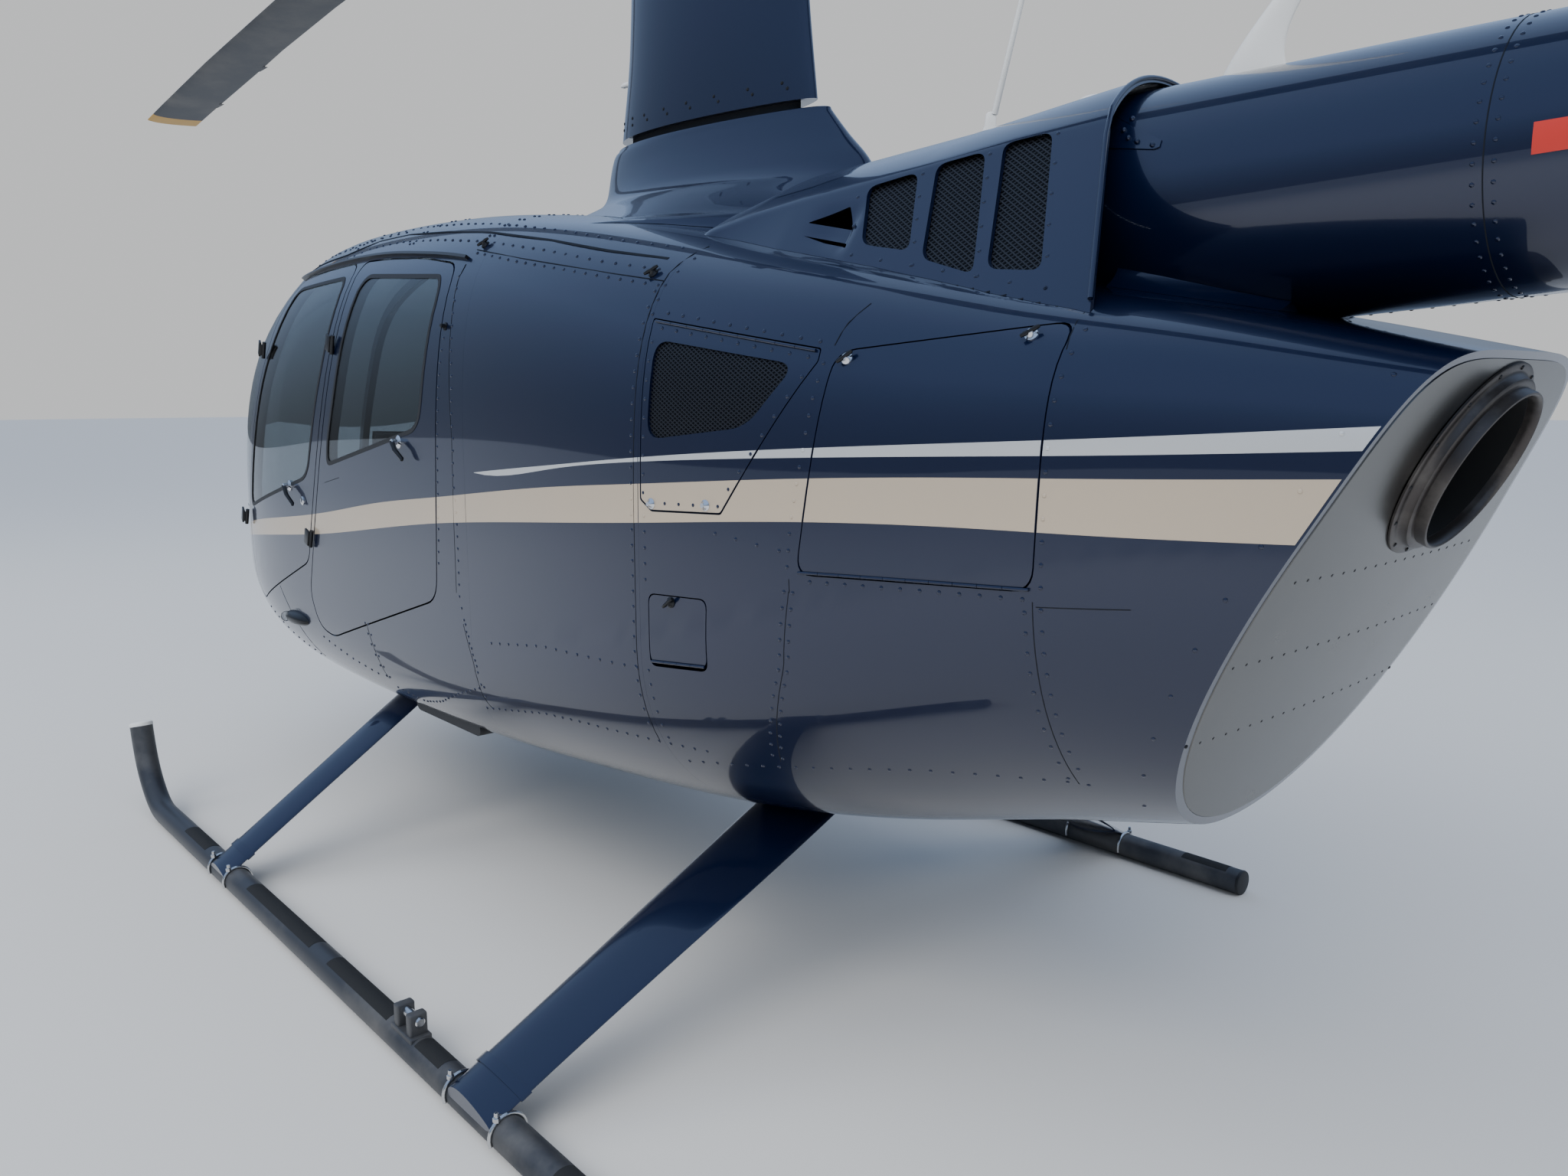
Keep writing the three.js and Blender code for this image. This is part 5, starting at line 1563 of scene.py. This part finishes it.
# Seams between sheets and rows of rivets, in the side view
sheetSeams = [
    [(-11, 1865), (0, 1820), (-12, 1708), (-17, 1581), (-22, 1507), (-31, 1401), (-28, 1290), (-24, 1180),
     (-20, 990)],
    [(-28, 1903), (-276, 1861), (-484, 1828), (-658, 1800), (-845, 1772)],
    [(-868, 1850), (-859, 1821), (-848, 1792), (-845, 1600), (-845, 746)],
    [(-1294, 1152), (-1273, 996), (-1179, 760)],
    [(-1365, 1622), (-1374, 1660), (-1400, 1700)],
    [(-1807, 1674), (-1823, 1607)], [(-1805, 1190), (-1802, 1000), (-1800, 830)],
    [(-1811, 1182), (-1965, 1194)], [(-1294, 1176), (-1296, 1150)],
    [(606, 809), (562, 713), (541, 638)], [(-51, 908), (-97, 808), (-112, 709), (-136, 682)],
    [(878, 1236), (756, 1259)], [(1378, 832), (1240, 700), (1150, 600)],
]
roofLine = [
    (1396, 1956), (1200, 1966), (996, 1972), (774, 2000), (554, 2000), (247, 1979), (-30, 1950), (-340, 1903),
    (-600, 1856), (-808, 1824),
]
# rows: spacing, then the line
rivetRows = [
    (33, [(1, 1834), (-10, 1761), (-19, 1686), (-26, 1619), (-33, 1566), (-32, 1459), (-38, 1401),
          (-30, 1297), (-41, 1219), (-40, 1100), (-36, 980), (-70, 880), (-112, 800)]),
    (33, [(19, 1705), (35, 1622), (43, 1559), (47, 1488), (54, 1418), (62, 1300), (66, 1200), (80, 1060)]),
    (46, [(-40, 1893), (-276, 1852), (-484, 1819), (-658, 1791), (-836, 1763)]),
    (34, [(-836, 1750), (-836, 1600), (-836, 1200), (-836, 790)]),
    (34, [(-880, 1820), (-858, 1760), (-857, 1700)]), (34, [(-880, 1270), (-880, 1130)]),
    (34, [(-880, 925), (-880, 760)]),
    (46, [(-905, 1700), (-1126, 1664), (-1330, 1631)]),
    (34, [(-1304, 1150), (-1283, 996), (-1189, 770)]), (34, [(-1282, 1150), (-1262, 996), (-1168, 775)]),
    (34, [(-1350, 1590), (-1338, 1520), (-1325, 1432), (-1297, 1281), (-1290, 1200)]),
    (38, [(-1836, 1640), (-1834, 1600), (-1826, 1536), (-1822, 1436), (-1820, 1312), (-1820, 1208),
          (-1816, 830)]),
    (38, [(-1790, 1170), (-1788, 1000), (-1786, 840)]),
    (40, [(-1345, 1176), (-1556, 1184), (-1787, 1193)]),
    (36, [(-103, 676), (-406, 725), (-568, 735), (-785, 741), (-982, 745)]),
    (46, [(-204, 879), (-461, 913), (-841, 925)]),
    (30, [(518, 611), (355, 596), (200, 630), (40, 690), (-132, 744)]),
    (34, [(594, 809), (550, 713), (529, 645)]), (34, [(618, 809), (574, 713), (553, 645)]),
    (34, [(-64, 908), (-109, 808), (-124, 715)]),
    (44, [(1010, 700), (800, 660), (620, 640)]), (44, [(1600, 720), (1380, 640), (1200, 600)]),
    (60, [(-1100, 1250), (-1270, 1230)]), (44, [(-900, 700), (-1150, 740), (-1500, 800), (-1780, 830)]),
    (92, [(-1884, 790), (-2040, 1110), (-2154, 1340), (-2266, 1565)]),
]
intakeRivets = [
    (44, [(-900, 1668), (-1126, 1632), (-1312, 1602)]), (44, [(-1306, 1565), (-1195, 1415), (-1108, 1306)]),
    (40, [(-878, 1640), (-878, 1320)]), (44, [(-905, 1300), (-1080, 1305)]),
]


def buildSheetWork():
    lines = [onSkin(line, 22) for line in sheetSeams]
    seams = ribbon("sheetSeams", lines + [flipped(line) for line in lines], 1.7, "seamAndShadeDark", 0.35, 1.0)
    roof = [onSkin(roofLine, 24)]
    joint = ribbon("roofJoint", roof + [flipped(line) for line in roof], 7, "seamAndShadeDark", 0.6, 1.5)
    place(joined("sheetSeams", [seams, joint]), "airframe")
    rows = []
    for spacing, line in rivetRows:
        rows += onSkin(line, spacing)
    inTheWay = [(cowling[k], 4) for k in ("intakeDoor", "engineDoor", "accessDoor")]
    rows = [spot for spot in rows if not any(insideOutline(spot[0], inset(o, -d)) for o, d in inTheWay)]
    roofRows = []
    for offset in (26, -24):
        roofRows += [skinPoint(p[0], p[1] + offset) for p in spaced(roofLine[1:], 52)]
    for across in (0, 260, 520):
        roofRows += [skinTop(x, across) for x in np.arange(640, 1500, 60)]
    for x in (-30, -55, 430, 455, 940):
        roofRows += [skinTop(x, y) for y in np.arange(0, 640, 46)]
    for label, finishName in (("wide", "champagnePaint"), ("thin", "silverPaint")):
        outline = throughPoints(stripes[label]["top"]) + throughPoints(stripes[label]["low"])[::-1]
        painted = [spot for spot in rows if insideOutline(spot[0], outline)]
        rows = [spot for spot in rows if not insideOutline(spot[0], outline)]
        place(domes(label + "StripeRivets", painted + flipped(painted), 4.4, 2.1, finishName, 8), "airframe")
    allSpots = rows + flipped(rows) + roofRows + flipped([s for s in roofRows if s[0][1] > 1])
    place(domes("bodyRivets", allSpots, 4.4, 2.1, "navyPaint", 8), "airframe")
    flap = []
    for spacing, line in intakeRivets:
        flap += onSkin(line, spacing)
    place(domes("intakeRivetsLeft", flap, 4.2, 2.0, "navyPaint", 8), "intake_flap_left")
    place(domes("intakeRivetsRight", flipped(flap), 4.2, 2.0, "navyPaint", 8), "intake_flap_right")
    print("seams and rivets ready:", len(allSpots) + 2 * len(flap))


def insideOutline(point, outline):
    x, z = point[0], point[2]
    inside = False
    for p, q in zip(outline, outline[1:] + outline[:1]):
        if (p[1] > z) != (q[1] > z) and x < (q[0] - p[0]) * (z - p[1]) / (q[1] - p[1]) + p[0]:
            inside = not inside
    return inside


def cowlRivets():
    spots = []
    for spacing, line in (
        (60, [(-1185, 1933), (-1210, 1870), (-1239, 1808)]),
        (52, [(-1323, 1967), (-1346, 1903), (-1400, 1777)]),
        (52, [(-1463, 1990), (-1507, 1868), (-1558, 1746)]),
        (60, [(-1598, 2012), (-1651, 1863), (-1713, 1715)]),
        (80, [(-1318, 1792), (-1478, 1761), (-1713, 1715)]),
        (44, [(-1170, 1790), (-1355, 1753), (-1534, 1716), (-1700, 1688)]),
    ):
        spots += [cowlSide(x, z, 0.0) for x, z in spaced(line, spacing)]
    slots = []
    for x in np.arange(-1060, -1780, -38):
        z = np.interp(x, [-1775, -1609, -1430, -1258, -1029], [1672, 1710, 1745, 1780, 1830])
        slots.append([cowlSide(x + d, z - d * 0.21, 0.2) for d in (-9, 0, 9)])
    left = domes("cowlRivetsLeft", spots, 4.4, 2.1, "navyPaint")
    dark = ribbon("cowlSlots", slots, 3.2, "seamAndShadeDark", 0.5, 0.6)
    placePair(joined("cowlRivets", [left, dark]), "cowlRivets", "airframe")


def buildSmallMetal():
    # hinges of the engine doors, latches, handles, drip rail
    def placeBoth(left, name, body):
        # what belongs to the access door is on the left side only
        if name.startswith("access"):
            left.name = name + "Left"
            place(left, body)
        else:
            placePair(left, name, body)

    for name, start, end, count in (
        ("intakeHinge", (-878, 1683), (-1328, 1613), 9),
        ("engineHinge", (-1318, 1192), (-1800, 1211), 10),
        ("accessHinge", (-896, 950), (-1062, 963), 4),
    ):
        placeBoth(hingeTube(name, start, end, count), name, "airframe")
    for label, body, where in (
        ("latch", "airframe", [(-54, 1914), (-800, 1791)]),
        ("engineLatch", "engine_flap_left", [(-1400, 1598), (-1750, 1632)]),
        ("accessLatch", "access_flap_left", [(-964, 1090)]),
        ("intakeFastener", "intake_flap_left", [(-905, 1298), (-1073, 1306)]),
    ):
        parts = []
        shine = "chromeTrim" if label in ("engineLatch", "intakeFastener") else "blackMetal"
        for x, z in where:
            spot, normal = skinPoint(x, z)
            across = unit(np.cross(normal, (0.3, 0, 1)))
            up = np.cross(normal, across)
            parts.append(stud(label, spot, normal, [(0, 12), (2.6, 12), (4, 9), (9, 6), (12, 5)], shine))
            if label != "intakeFastener":
                wing = [spot + normal * 10 + across * t + up * 0.35 * t for t in (-17, -9, 0, 9, 17)]
                parts.append(tube(label, wing, [3, 4.5, 3.5, 4.5, 3], "blackMetal", 10))
        placeBoth(joined(label, parts), label, body)
    rail = [
        (1400, 1921), (1215, 1930), (996, 1938), (737, 1939), (502, 1931), (290, 1914), (60, 1890),
        (-11, 1880),
    ]
    line = onSkin(throughPoints(rail, 30), 30)
    place(ribbon("dripRail", [line, flipped(line)], 9, "blackMetal", 11, 1), "airframe")
    for where, line, off in (
        ("front", ((1766, 1050), (1516, 1669)), 14),
        ("rear", ((1006, 1040), (784, 1672)), 9),
    ):
        parts = []
        along = unit((line[1][0] - line[0][0], 0, line[1][1] - line[0][1]))
        for x, z in line:
            spot, normal = skinPoint(x, z, off)
            ahead = unit(np.cross(along, normal))
            ahead = ahead if ahead[0] > 0 else -ahead
            turn = spot, np.array([ahead, along, np.cross(ahead, along)])
            parts += [
                tube("knuckle", [spot - along * 30, spot + along * 30], 6.5, "blackMetal", 16),
                softBlock("hingePlate", (0, -26, -off - 2), (34, 26, -off + 5), "blackMetal", 2, turn),
                softBlock("hingeWeb", (-3, -20, -off + 2), (5, 20, -2), "blackMetal", 1.5, turn),
            ]
        placePair(joined("hinges", parts), where + "Hinges", "airframe")
    for where, x0, z0, x1, z1 in (("rear", 298, 1388, 236, 1344), ("front", 1199, 1206, 1124, 1152)):
        spot, normal = skinPoint(x0, z0)
        end, _ = skinPoint(x1, z1, 22)
        elbow = (spot + normal * 24 + end) / 2 + normal * 4
        lever = [spot + normal * 21, elbow, end, end + (end - spot) * 0.12]
        base = [(0, 19), (4, 19), (7, 15), (9, 9), (24, 9), (26, 7)]
        parts = [
            stud("handleBase", spot, normal, base, "chromeTrim", 28),
            tube("handleLever", lever, [8, 7, 6.5, 4], "blackMetal", 14, 60, 0.7),
        ]
        if where == "front":
            lock = [(0, 15), (3, 15), (5, 12), (5.5, 4)]
            parts.append(stud("lock", *skinPoint(1087, 1162), lock, "chromeTrim", 28))
        placePair(joined("handle", parts), where + "Handle", f"door_{where}_left")
    profile = [(0, 11), (3, 11), (4, 6), (14, 6), (16, 4)]
    catch = stud("doorCatch", *skinPoint(20, 1703), profile, "blackMetal", 18)
    place(mirroredCopy(catch, "doorCatchRight"), "airframe")
    place(catch, "airframe")
    print("hinges, latches, handles and drip rail ready")


def buildAntennas():
    foot, _ = cowlTop(-1214, 0, -6)
    whip = [
        loft("whipFoot", [
            wingRing(-1214 + 34 * k - 22 * (1 - k), -1214 - 34 * k - 22 * (1 - k), 42 * k,
                     atHeight(foot[2] + h))
            for k, h in ((1, 0), (0.97, 7), (0.62, 18), (0.45, 40), (0.4, 62), (0.3, 66))
        ], "whiteCoat", 32),
        tube("whipRod", [(-1236, 0, foot[2] + 60), (-1320, 0, 2430), (-1410, 0, 2736)], [7, 5.5, 4],
             "whiteCoat", 12),
    ]
    place(joined("whipAntenna", whip), "airframe", "whip_antenna", "white_paint")
    top, _ = cowlTop(-1502, 0, -5)
    upward = np.array((0, 0, 1))
    disc = turned("discAntenna", top, top + upward, [(0, 40), (9, 40), (14, 37), (18, 28), (20, 12)],
                  "whiteCoat", 40)
    place(disc, "airframe", "disc_antenna", "white_paint")
    x0 = -1860
    spot, _ = coneSpot(x0, 90, -6)
    rings = []
    for t in np.linspace(0, 1, 14):
        sweep = -185 * t**1.35
        chord = 85 * (1 - t) ** 3 + 48
        z = spot[2] + 255 * t
        lead = x0 + 90 + sweep * 0.9 - 60 * t
        rings.append(wingRing(lead, lead - chord, 30 - 16 * t, atHeight(z)))
    rings.append(tipRing(rings[-1], 0.7, 0.4, 6))
    place(loft("bladeAntenna", rings, "whiteCoat", 34), "airframe", "blade_antenna", "white_paint")
    base, _ = coneSpot(-3600, 90, -8)
    beacon = [
        turned("beaconLens", base, base + upward, [(14, 40), (20, 41), (50, 38), (66, 28), (74, 14), (77, 3)],
               "redLens", 36),
        turned("beaconBase", base, base + upward, [(0, 44), (12, 44), (16, 42)], "blackMetal", 36),
    ]
    place(joined("tailBeacon", beacon), "airframe", "tail_beacon", "red_lens")
    spot, _ = skinPoint(1230, 735)
    rings = []
    for t in (-1, -0.97, -0.85, -0.6, -0.3, 0, 0.3, 0.6, 0.85, 0.97, 1):
        size = math.sqrt(max(1 - t * t, 0.004))
        rings.append([(spot[0] + t * 105, spot[1] - 4 + max(math.cos(a), -0.2) * 34 * size,
                       spot[2] + math.sin(a) * 25 * size)
                      for a in np.linspace(0, 2 * math.pi, 32, endpoint=False)])
    lamp = loft("lamp", rings, "blackMetal", 60)
    lens = turned("lampLens", spot + np.array((60, 20, 0)), spot + np.array((110, 8, 0)),
                  [(0, 19), (8, 16), (12, 8)], "lampGlass", 28)
    placePair(joined("lamp", [lamp, lens]), "noseLamp", "airframe", "nose_lamp_left", "lamp_glass")
    rings = []
    for x in np.linspace(-2372, -2492, 5):
        low = [coneSpot(x, a, -0.5)[0] for a in np.linspace(4, -8, 9)]
        rings.append([coneSpot(x, a, 1.2)[0] for a in np.linspace(-8, 4, 9)] + low)
    place(loft("blankPlate", rings, "redPlate", 30), "airframe")
    # bracket just behind the rim: place along the cone and angle on it
    corners = [
        (-1640, 47), (-1640, 27), (-1690, 24.3), (-1772, 20.3), (-1784, 21.2), (-1782, 24.2), (-1722, 33),
    ]
    corners = spaced(corners + corners[:1], 6)
    rims = [coneSpot(x, a, lift)[0] for lift in (2.4, -0.8) for x, a in corners]
    bracket = outward(makeObject("bracket", rims, prismFaces(len(corners)), "navyPaint"))
    boltSpots = ((-1693, 33.7), (-1710, 28.6), (-1731, 26), (-1766, 22.6), (-1700, 40))
    bolts = [coneSpot(x, a, 2.2) for x, a in boltSpots]
    place(joined("coneBracketLeft", [bracket, domes("bolts", bolts, 5.5, 4, "navyPaint", 6)]), "airframe")
    spot, _ = skinTop(600, 300, 0, True)
    drop = loft("bellyFitting", [
        [(spot[0] + dx + math.cos(a) * 62 * k, spot[1] + math.sin(a) * 22 * k, spot[2] + 6 - h)
         for a in np.linspace(0, 2 * math.pi, 28, endpoint=False)]
        for k, h, dx in ((1, 0, 0), (1, 10, 0), (0.85, 22, -6), (0.5, 30, -12), (0.1, 33, -16))
    ], "blackRubber", 40)
    place(drop, "airframe")
    print("antennas and lamps ready")


def buildValley():
    # concave filler between the tail cone's underside and the top of the cowling
    rings = []
    for x in np.linspace(-1700, -1990, 13):
        t = (x + 1700) / -420
        half = 430 - 150 * t - 150 * t * t
        edge, _ = skinTop(x, half, -8)
        cone, _ = coneSpot(x, -28 - 34 * t - 20 * t * t, -6)
        low, _ = skinTop(x, half * 0.6, -20)
        mid = np.array([x, min(cone[1] + 20, edge[1]), edge[2] + 6])
        curve = [arcPoint(edge, mid, cone, u) for u in np.linspace(0, 1, 12)]
        rings.append([*curve, (x, max(cone[1] - 60, 5), low[2] - 10), (x, half * 0.8, low[2] - 14)])
    left = loft("valley", rings, "navyPaint", 30)
    combine(left, [coneSolid(0.6), podBody("podCutter", -2400, -1500, 0.3)], "DIFFERENCE")
    placePair(smoothByAngle(left, 30), "coneValley", "airframe")


buildSheetWork()
cowlRivets()
buildSmallMetal()
buildAntennas()
buildValley()


# Cabin inside
inside = {
    "floorZ": 510, "liner": (-38.6, -41.5),
    # node, name, x, from y, to y, places side by side
    "seats": (
        ("seat_front_left", "ChairFrontLeft", 1000, 70, 560, 1),
        ("seat_front_right", "ChairFrontRight", 1000, -560, -70, 1),
        ("rear_bench", "RearBench", 180, -610, 610, 3),
    ),
}


def cushion(name, centre, axes, size, crown, channels, steps=30):
    # stuffed pad: crowned on top, flatter below, sides drawn in between the corners, a piped edge
    length, width, thick = size
    points, rim = [], []
    grid = np.linspace(-1, 1, steps + 1)

    def spot(u, v, level):
        edge = (1 - abs(u) ** 5) * (1 - abs(v) ** 5)
        dome = max(edge, 0) ** 0.42
        x = length / 2 * u * (1 - 0.022 * (1 - v * v) * abs(u) ** 3)
        y = width / 2 * v * (1 - 0.03 * (1 - u * u) * abs(v) ** 3)
        if level > 0:
            h = thick * 0.2 + thick * 0.3 * dome + crown * (1 - u * u) * (1 - v * v)
            for at in channels:
                h -= 9 * math.exp(-(((u - at) * length / 2) / 7) ** 2) * min(1, (1 - abs(v)) * 12)
        else:
            h = -thick * 0.2 - thick * 0.3 * dome
        return (x, y, h)

    for level in (1, -1):
        points += [spot(u, v, level) for u in grid for v in grid]
    n = steps + 1
    faces = []
    for level in (0, 1):
        start = level * n * n
        for i in range(steps):
            for j in range(steps):
                a = start + i * n + j
                face = (a, a + n, a + n + 1, a + 1)
                faces.append(face if level == 0 else face[::-1])
    border = [(0, j) for j in range(steps)] + [(i, steps) for i in range(steps)]
    border += [(steps, j) for j in range(steps, 0, -1)] + [(i, 0) for i in range(steps, 0, -1)]
    ids = [i * n + j for i, j in border]
    for a, b in zip(ids, ids[1:] + ids[:1]):
        faces.append((a, b, b + n * n, a + n * n))
        rim.append(spot(grid[a // n], grid[a % n], 1))
    centre, axes = np.asarray(centre, float), np.asarray(axes)
    made = outward(makeObject(name, centre + np.asarray(points) @ axes, faces, "cushionLeather"))
    smoothByAngle(made, 60)
    piping = tube("piping", centre + np.asarray(rim + rim[:1]) @ axes, 4.2, "cushionLeather", 8, 80)
    made = joined(name, [made, piping])
    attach(made, "airframe")
    return made


def buildSeat(node, label, x, y0, y1, split, floorZ):
    pan = [(x - 30, floorZ + 2), (x + 400, floorZ + 2), (x + 448, floorZ + 205), (x + 5, floorZ + 168)]
    back = [(x - 42, floorZ + 168), (x - 68, floorZ + 168), (x - 222, floorZ + 868), (x - 204, floorZ + 876)]
    shells = []
    for outline, edge, radius in ((pan, 14, 26), (back, 18, 8)):
        shells.append(sidePrism(outline, y0 + edge, y1 - edge, radius))
        shells[-1].data.materials.append(finishes["cabinPlastic"])
    place(smoothByAngle(joined(label + "Frame", shells), 30), "airframe", node)
    each = (y1 - y0) / split
    lean, rise = unit((440, 0, 38)), unit((-158, 0, 640))
    up = unit(np.cross(lean, (0, 1, 0)))
    up = up if up[2] > 0 else -up
    out = unit(np.cross((0, 1, 0), rise))
    for i in range(split):
        y = y0 + each * (i + 0.5)
        cushion(f"{label}Cushion{i}", (x + 232, y, floorZ + 240), [lean, (0, 1, 0), up],
                (440, each - 16, 96), 10, (-0.38, 0.1, 0.55))
        cushion(f"{label}Back{i}", np.array((x - 78, y, floorZ + 568)) + out * 44, [rise, (0, 1, 0), out],
                (620, each - 22, 86), 8, (-0.45, 0.0, 0.45))


def buildInside(c):
    floorZ = c["floorZ"]
    outer, inner = c["liner"]
    liner = podBody("cabinLiner", -93.5, 1990, outer, inner, "cabinLining")
    cutters = bothSides(inset(windscreen, -14), 8)
    for outline, _ in doorways.values():
        cutters += bothSides(inset(outline, -12), sideNear, 64)
    combine(liner, cutters, "DIFFERENCE")
    place(followSkin(liner), "airframe")
    for where, (outline, window) in doorways.items():
        panel = podBody("doorLiner", -60, 1990, outer, inner, "cabinLining")
        cutAlong(panel, inset(outline, 26), 50)
        cutAlong(panel, inset(window, -10), 74, "DIFFERENCE")
        placePair(followSkin(panel), where + "DoorLiner", f"door_{where}_left")
    place(podBody("rearBulkhead", -94, -88, -42, None, "cabinLining"), "airframe")
    deck = podBody("cabinFloor", -87, 1700, -42, None, "cabinLining")
    combine(deck, [softBlock("clip", (-200, -900, 300), (2500, 900, floorZ), None, 1)], "INTERSECT")
    place(deck, "airframe")
    for seat in c["seats"]:
        buildSeat(*seat, floorZ)
    stand = loft("instrumentConsole", [
        [(x0, -h, z0), (x0, h, z0), (x1, h, z1), (x1, -h, z1)]
        for x0, z0, x1, z1, h in (
            (1625, floorZ, 1900, floorZ, 150), (1600, 700, 1930, 700, 150), (1640, 860, 1940, 880, 150),
            (1690, 900, 1950, 930, 190), (1780, 1080, 1958, 1100, 190), (1840, 1180, 1940, 1186, 176),
        )
    ], "cabinPlastic", 25)
    dials = []
    face = unit((-0.9, 0, 0.42))
    for across, z in [(y, z) for outerZ, innerZ in ((1100, 1110), (1010, 1016))
                      for y, z in ((-120, outerZ), (-40, innerZ), (40, innerZ), (120, outerZ))]:
        spot = np.array((1690 + (z - 900) * 0.5, across, z))
        dials.append(turned("dial", spot - face * 4, spot + face,
                            [(0, 34), (7, 34), (9, 30), (7, 28), (6, 4)], "blackMetal", 28))
        dials.append(turned("dialGlass", spot + face * 2.2, spot + face * 9, [(0, 27), (1.4, 27), (1.8, 20)],
                            "lampGlass", 24))
    place(joined("instrumentConsole", [stand, *dials]), "airframe", "instrument_console", "cabin_plastic")
    stick = [tube("stick", [(1480, 0, floorZ - 4), (1470, 0, 640), (1430, 0, 860), (1400, 0, 980)],
                  [15, 13, 12, 12], "cabinPlastic", 14)]
    for side in (1, -1):
        arm = [(1400, 0, 978), (1400, 150, 1012), (1400, 330, 1040), (1400, 420, 1058)]
        grip = [(1400, 420, 1062), (1396, 424, 1020), (1398, 428, 960), (1402, 430, 930)]
        for name, path, radius, material in (
            ("stickArm", arm, 11, "cabinPlastic"), ("stickGrip", grip, [14, 17, 17, 13], "blackRubber"),
        ):
            stick.append(tube(name, np.array(path) * (1, side, 1), radius, material, 14))
    place(joined("cyclicStick", stick), "airframe", "cyclic_stick")
    print("cabin inside ready")


buildInside(inside)


# Studio: pale floor, soft lights, bright surround
studio = {
    "floorRadius": 60000, "floorSides": 96, "floorColor": (0.64, 0.62, 0.58), "skyStrength": 0.85,
    "backdrop": (0.82, 0.83, 0.84),
    # ground, horizon and sky: share of the way up, colour
    "surround": [(0.46, (0.12, 0.12, 0.12)), (0.52, (0.2, 0.24, 0.3)), (0.72, (0.46, 0.64, 0.98))],
    # place, aim, width, height, power
    "lights": [
        ((-3500, 7500, 7000), (-600, 0, 1200), 7000, 4500, 420),
        ((6500, 6500, 8000), (800, 0, 1300), 7000, 5000, 320),
        ((-8500, -2500, 5500), (-1500, 0, 1300), 5000, 4000, 200),
    ],
    # wide even light from high on the left: place, aim, strength, spread in degrees
    "dome": ((-4000, 9000, 14000), (0, 0, 0), 1.7, 75),
}


def addLight(name, kind, spot, aim, **settings):
    data = bpy.data.lights.new(name, kind)
    for key, value in settings.items():
        setattr(data, key, value)
    light = linked(name, data)
    light.location, light.visible_glossy = toRow(spot)[0], False
    light.rotation_euler = Vector(toRow(aim)[0] - toRow(spot)[0]).to_track_quat("-Z", "Y").to_euler()


def buildStudio(s):
    rim = circle((0, 0, 0), s["floorRadius"], (1, 0, 0), (0, 1, 0), s["floorSides"])
    floor = makeObject("studioFloor", rim, [tuple(range(s["floorSides"]))], None)
    paint = finish("studioFloor", {
        "color": s["floorColor"], "roughness": 1, "sockets": {"Specular IOR Level": 0},
    })
    floor.data.materials.append(paint)
    for i, (spot, aim, width, height, power) in enumerate(s["lights"]):
        addLight(f"softLight{i}", "AREA", spot, aim, shape="RECTANGLE", size=width / 1000,
                 size_y=height / 1000, energy=power)
    spot, aim, strength, spread = s["dome"]
    addLight("domeLight", "SUN", spot, aim, energy=strength, angle=math.radians(spread))
    world = bpy.data.worlds.new("studioSurround")
    bpy.context.scene.world = world
    world.use_nodes = True
    tree = world.node_tree
    background = tree.nodes["Background"]
    background.inputs["Strength"].default_value = s["skyStrength"]
    direction = addNode(tree, "TexCoord")
    parts = addNode(tree, "SeparateXYZ")
    half = addNode(tree, "MapRange", {"From Min": -1})
    ramp = addNode(tree, "ValToRGB")
    first, last = ramp.color_ramp.elements[:2]
    (first.position, ground), (stop, horizon), (last.position, sky) = s["surround"]
    first.color, last.color = (*ground, 1), (*sky, 1)
    ramp.color_ramp.elements.new(stop).color = (*horizon, 1)
    # the picture's backdrop is plain and pale, the surround that lights the paint has a sky and a horizon
    seen = addNode(tree, "LightPath")
    mix = addNode(tree, "Mix", {"B": (*s["backdrop"], 1)}, data_type="RGBA")
    wire(
        tree, (direction, "Generated", parts, 0), (parts, "Z", half, "Value"), (half, "Result", ramp, "Fac"),
        (seen, "Is Camera Ray", mix, "Factor"), (ramp, "Color", mix, "A"),
        (mix, "Result", background, "Color"),
    )
    print("studio ready")


buildStudio(studio)
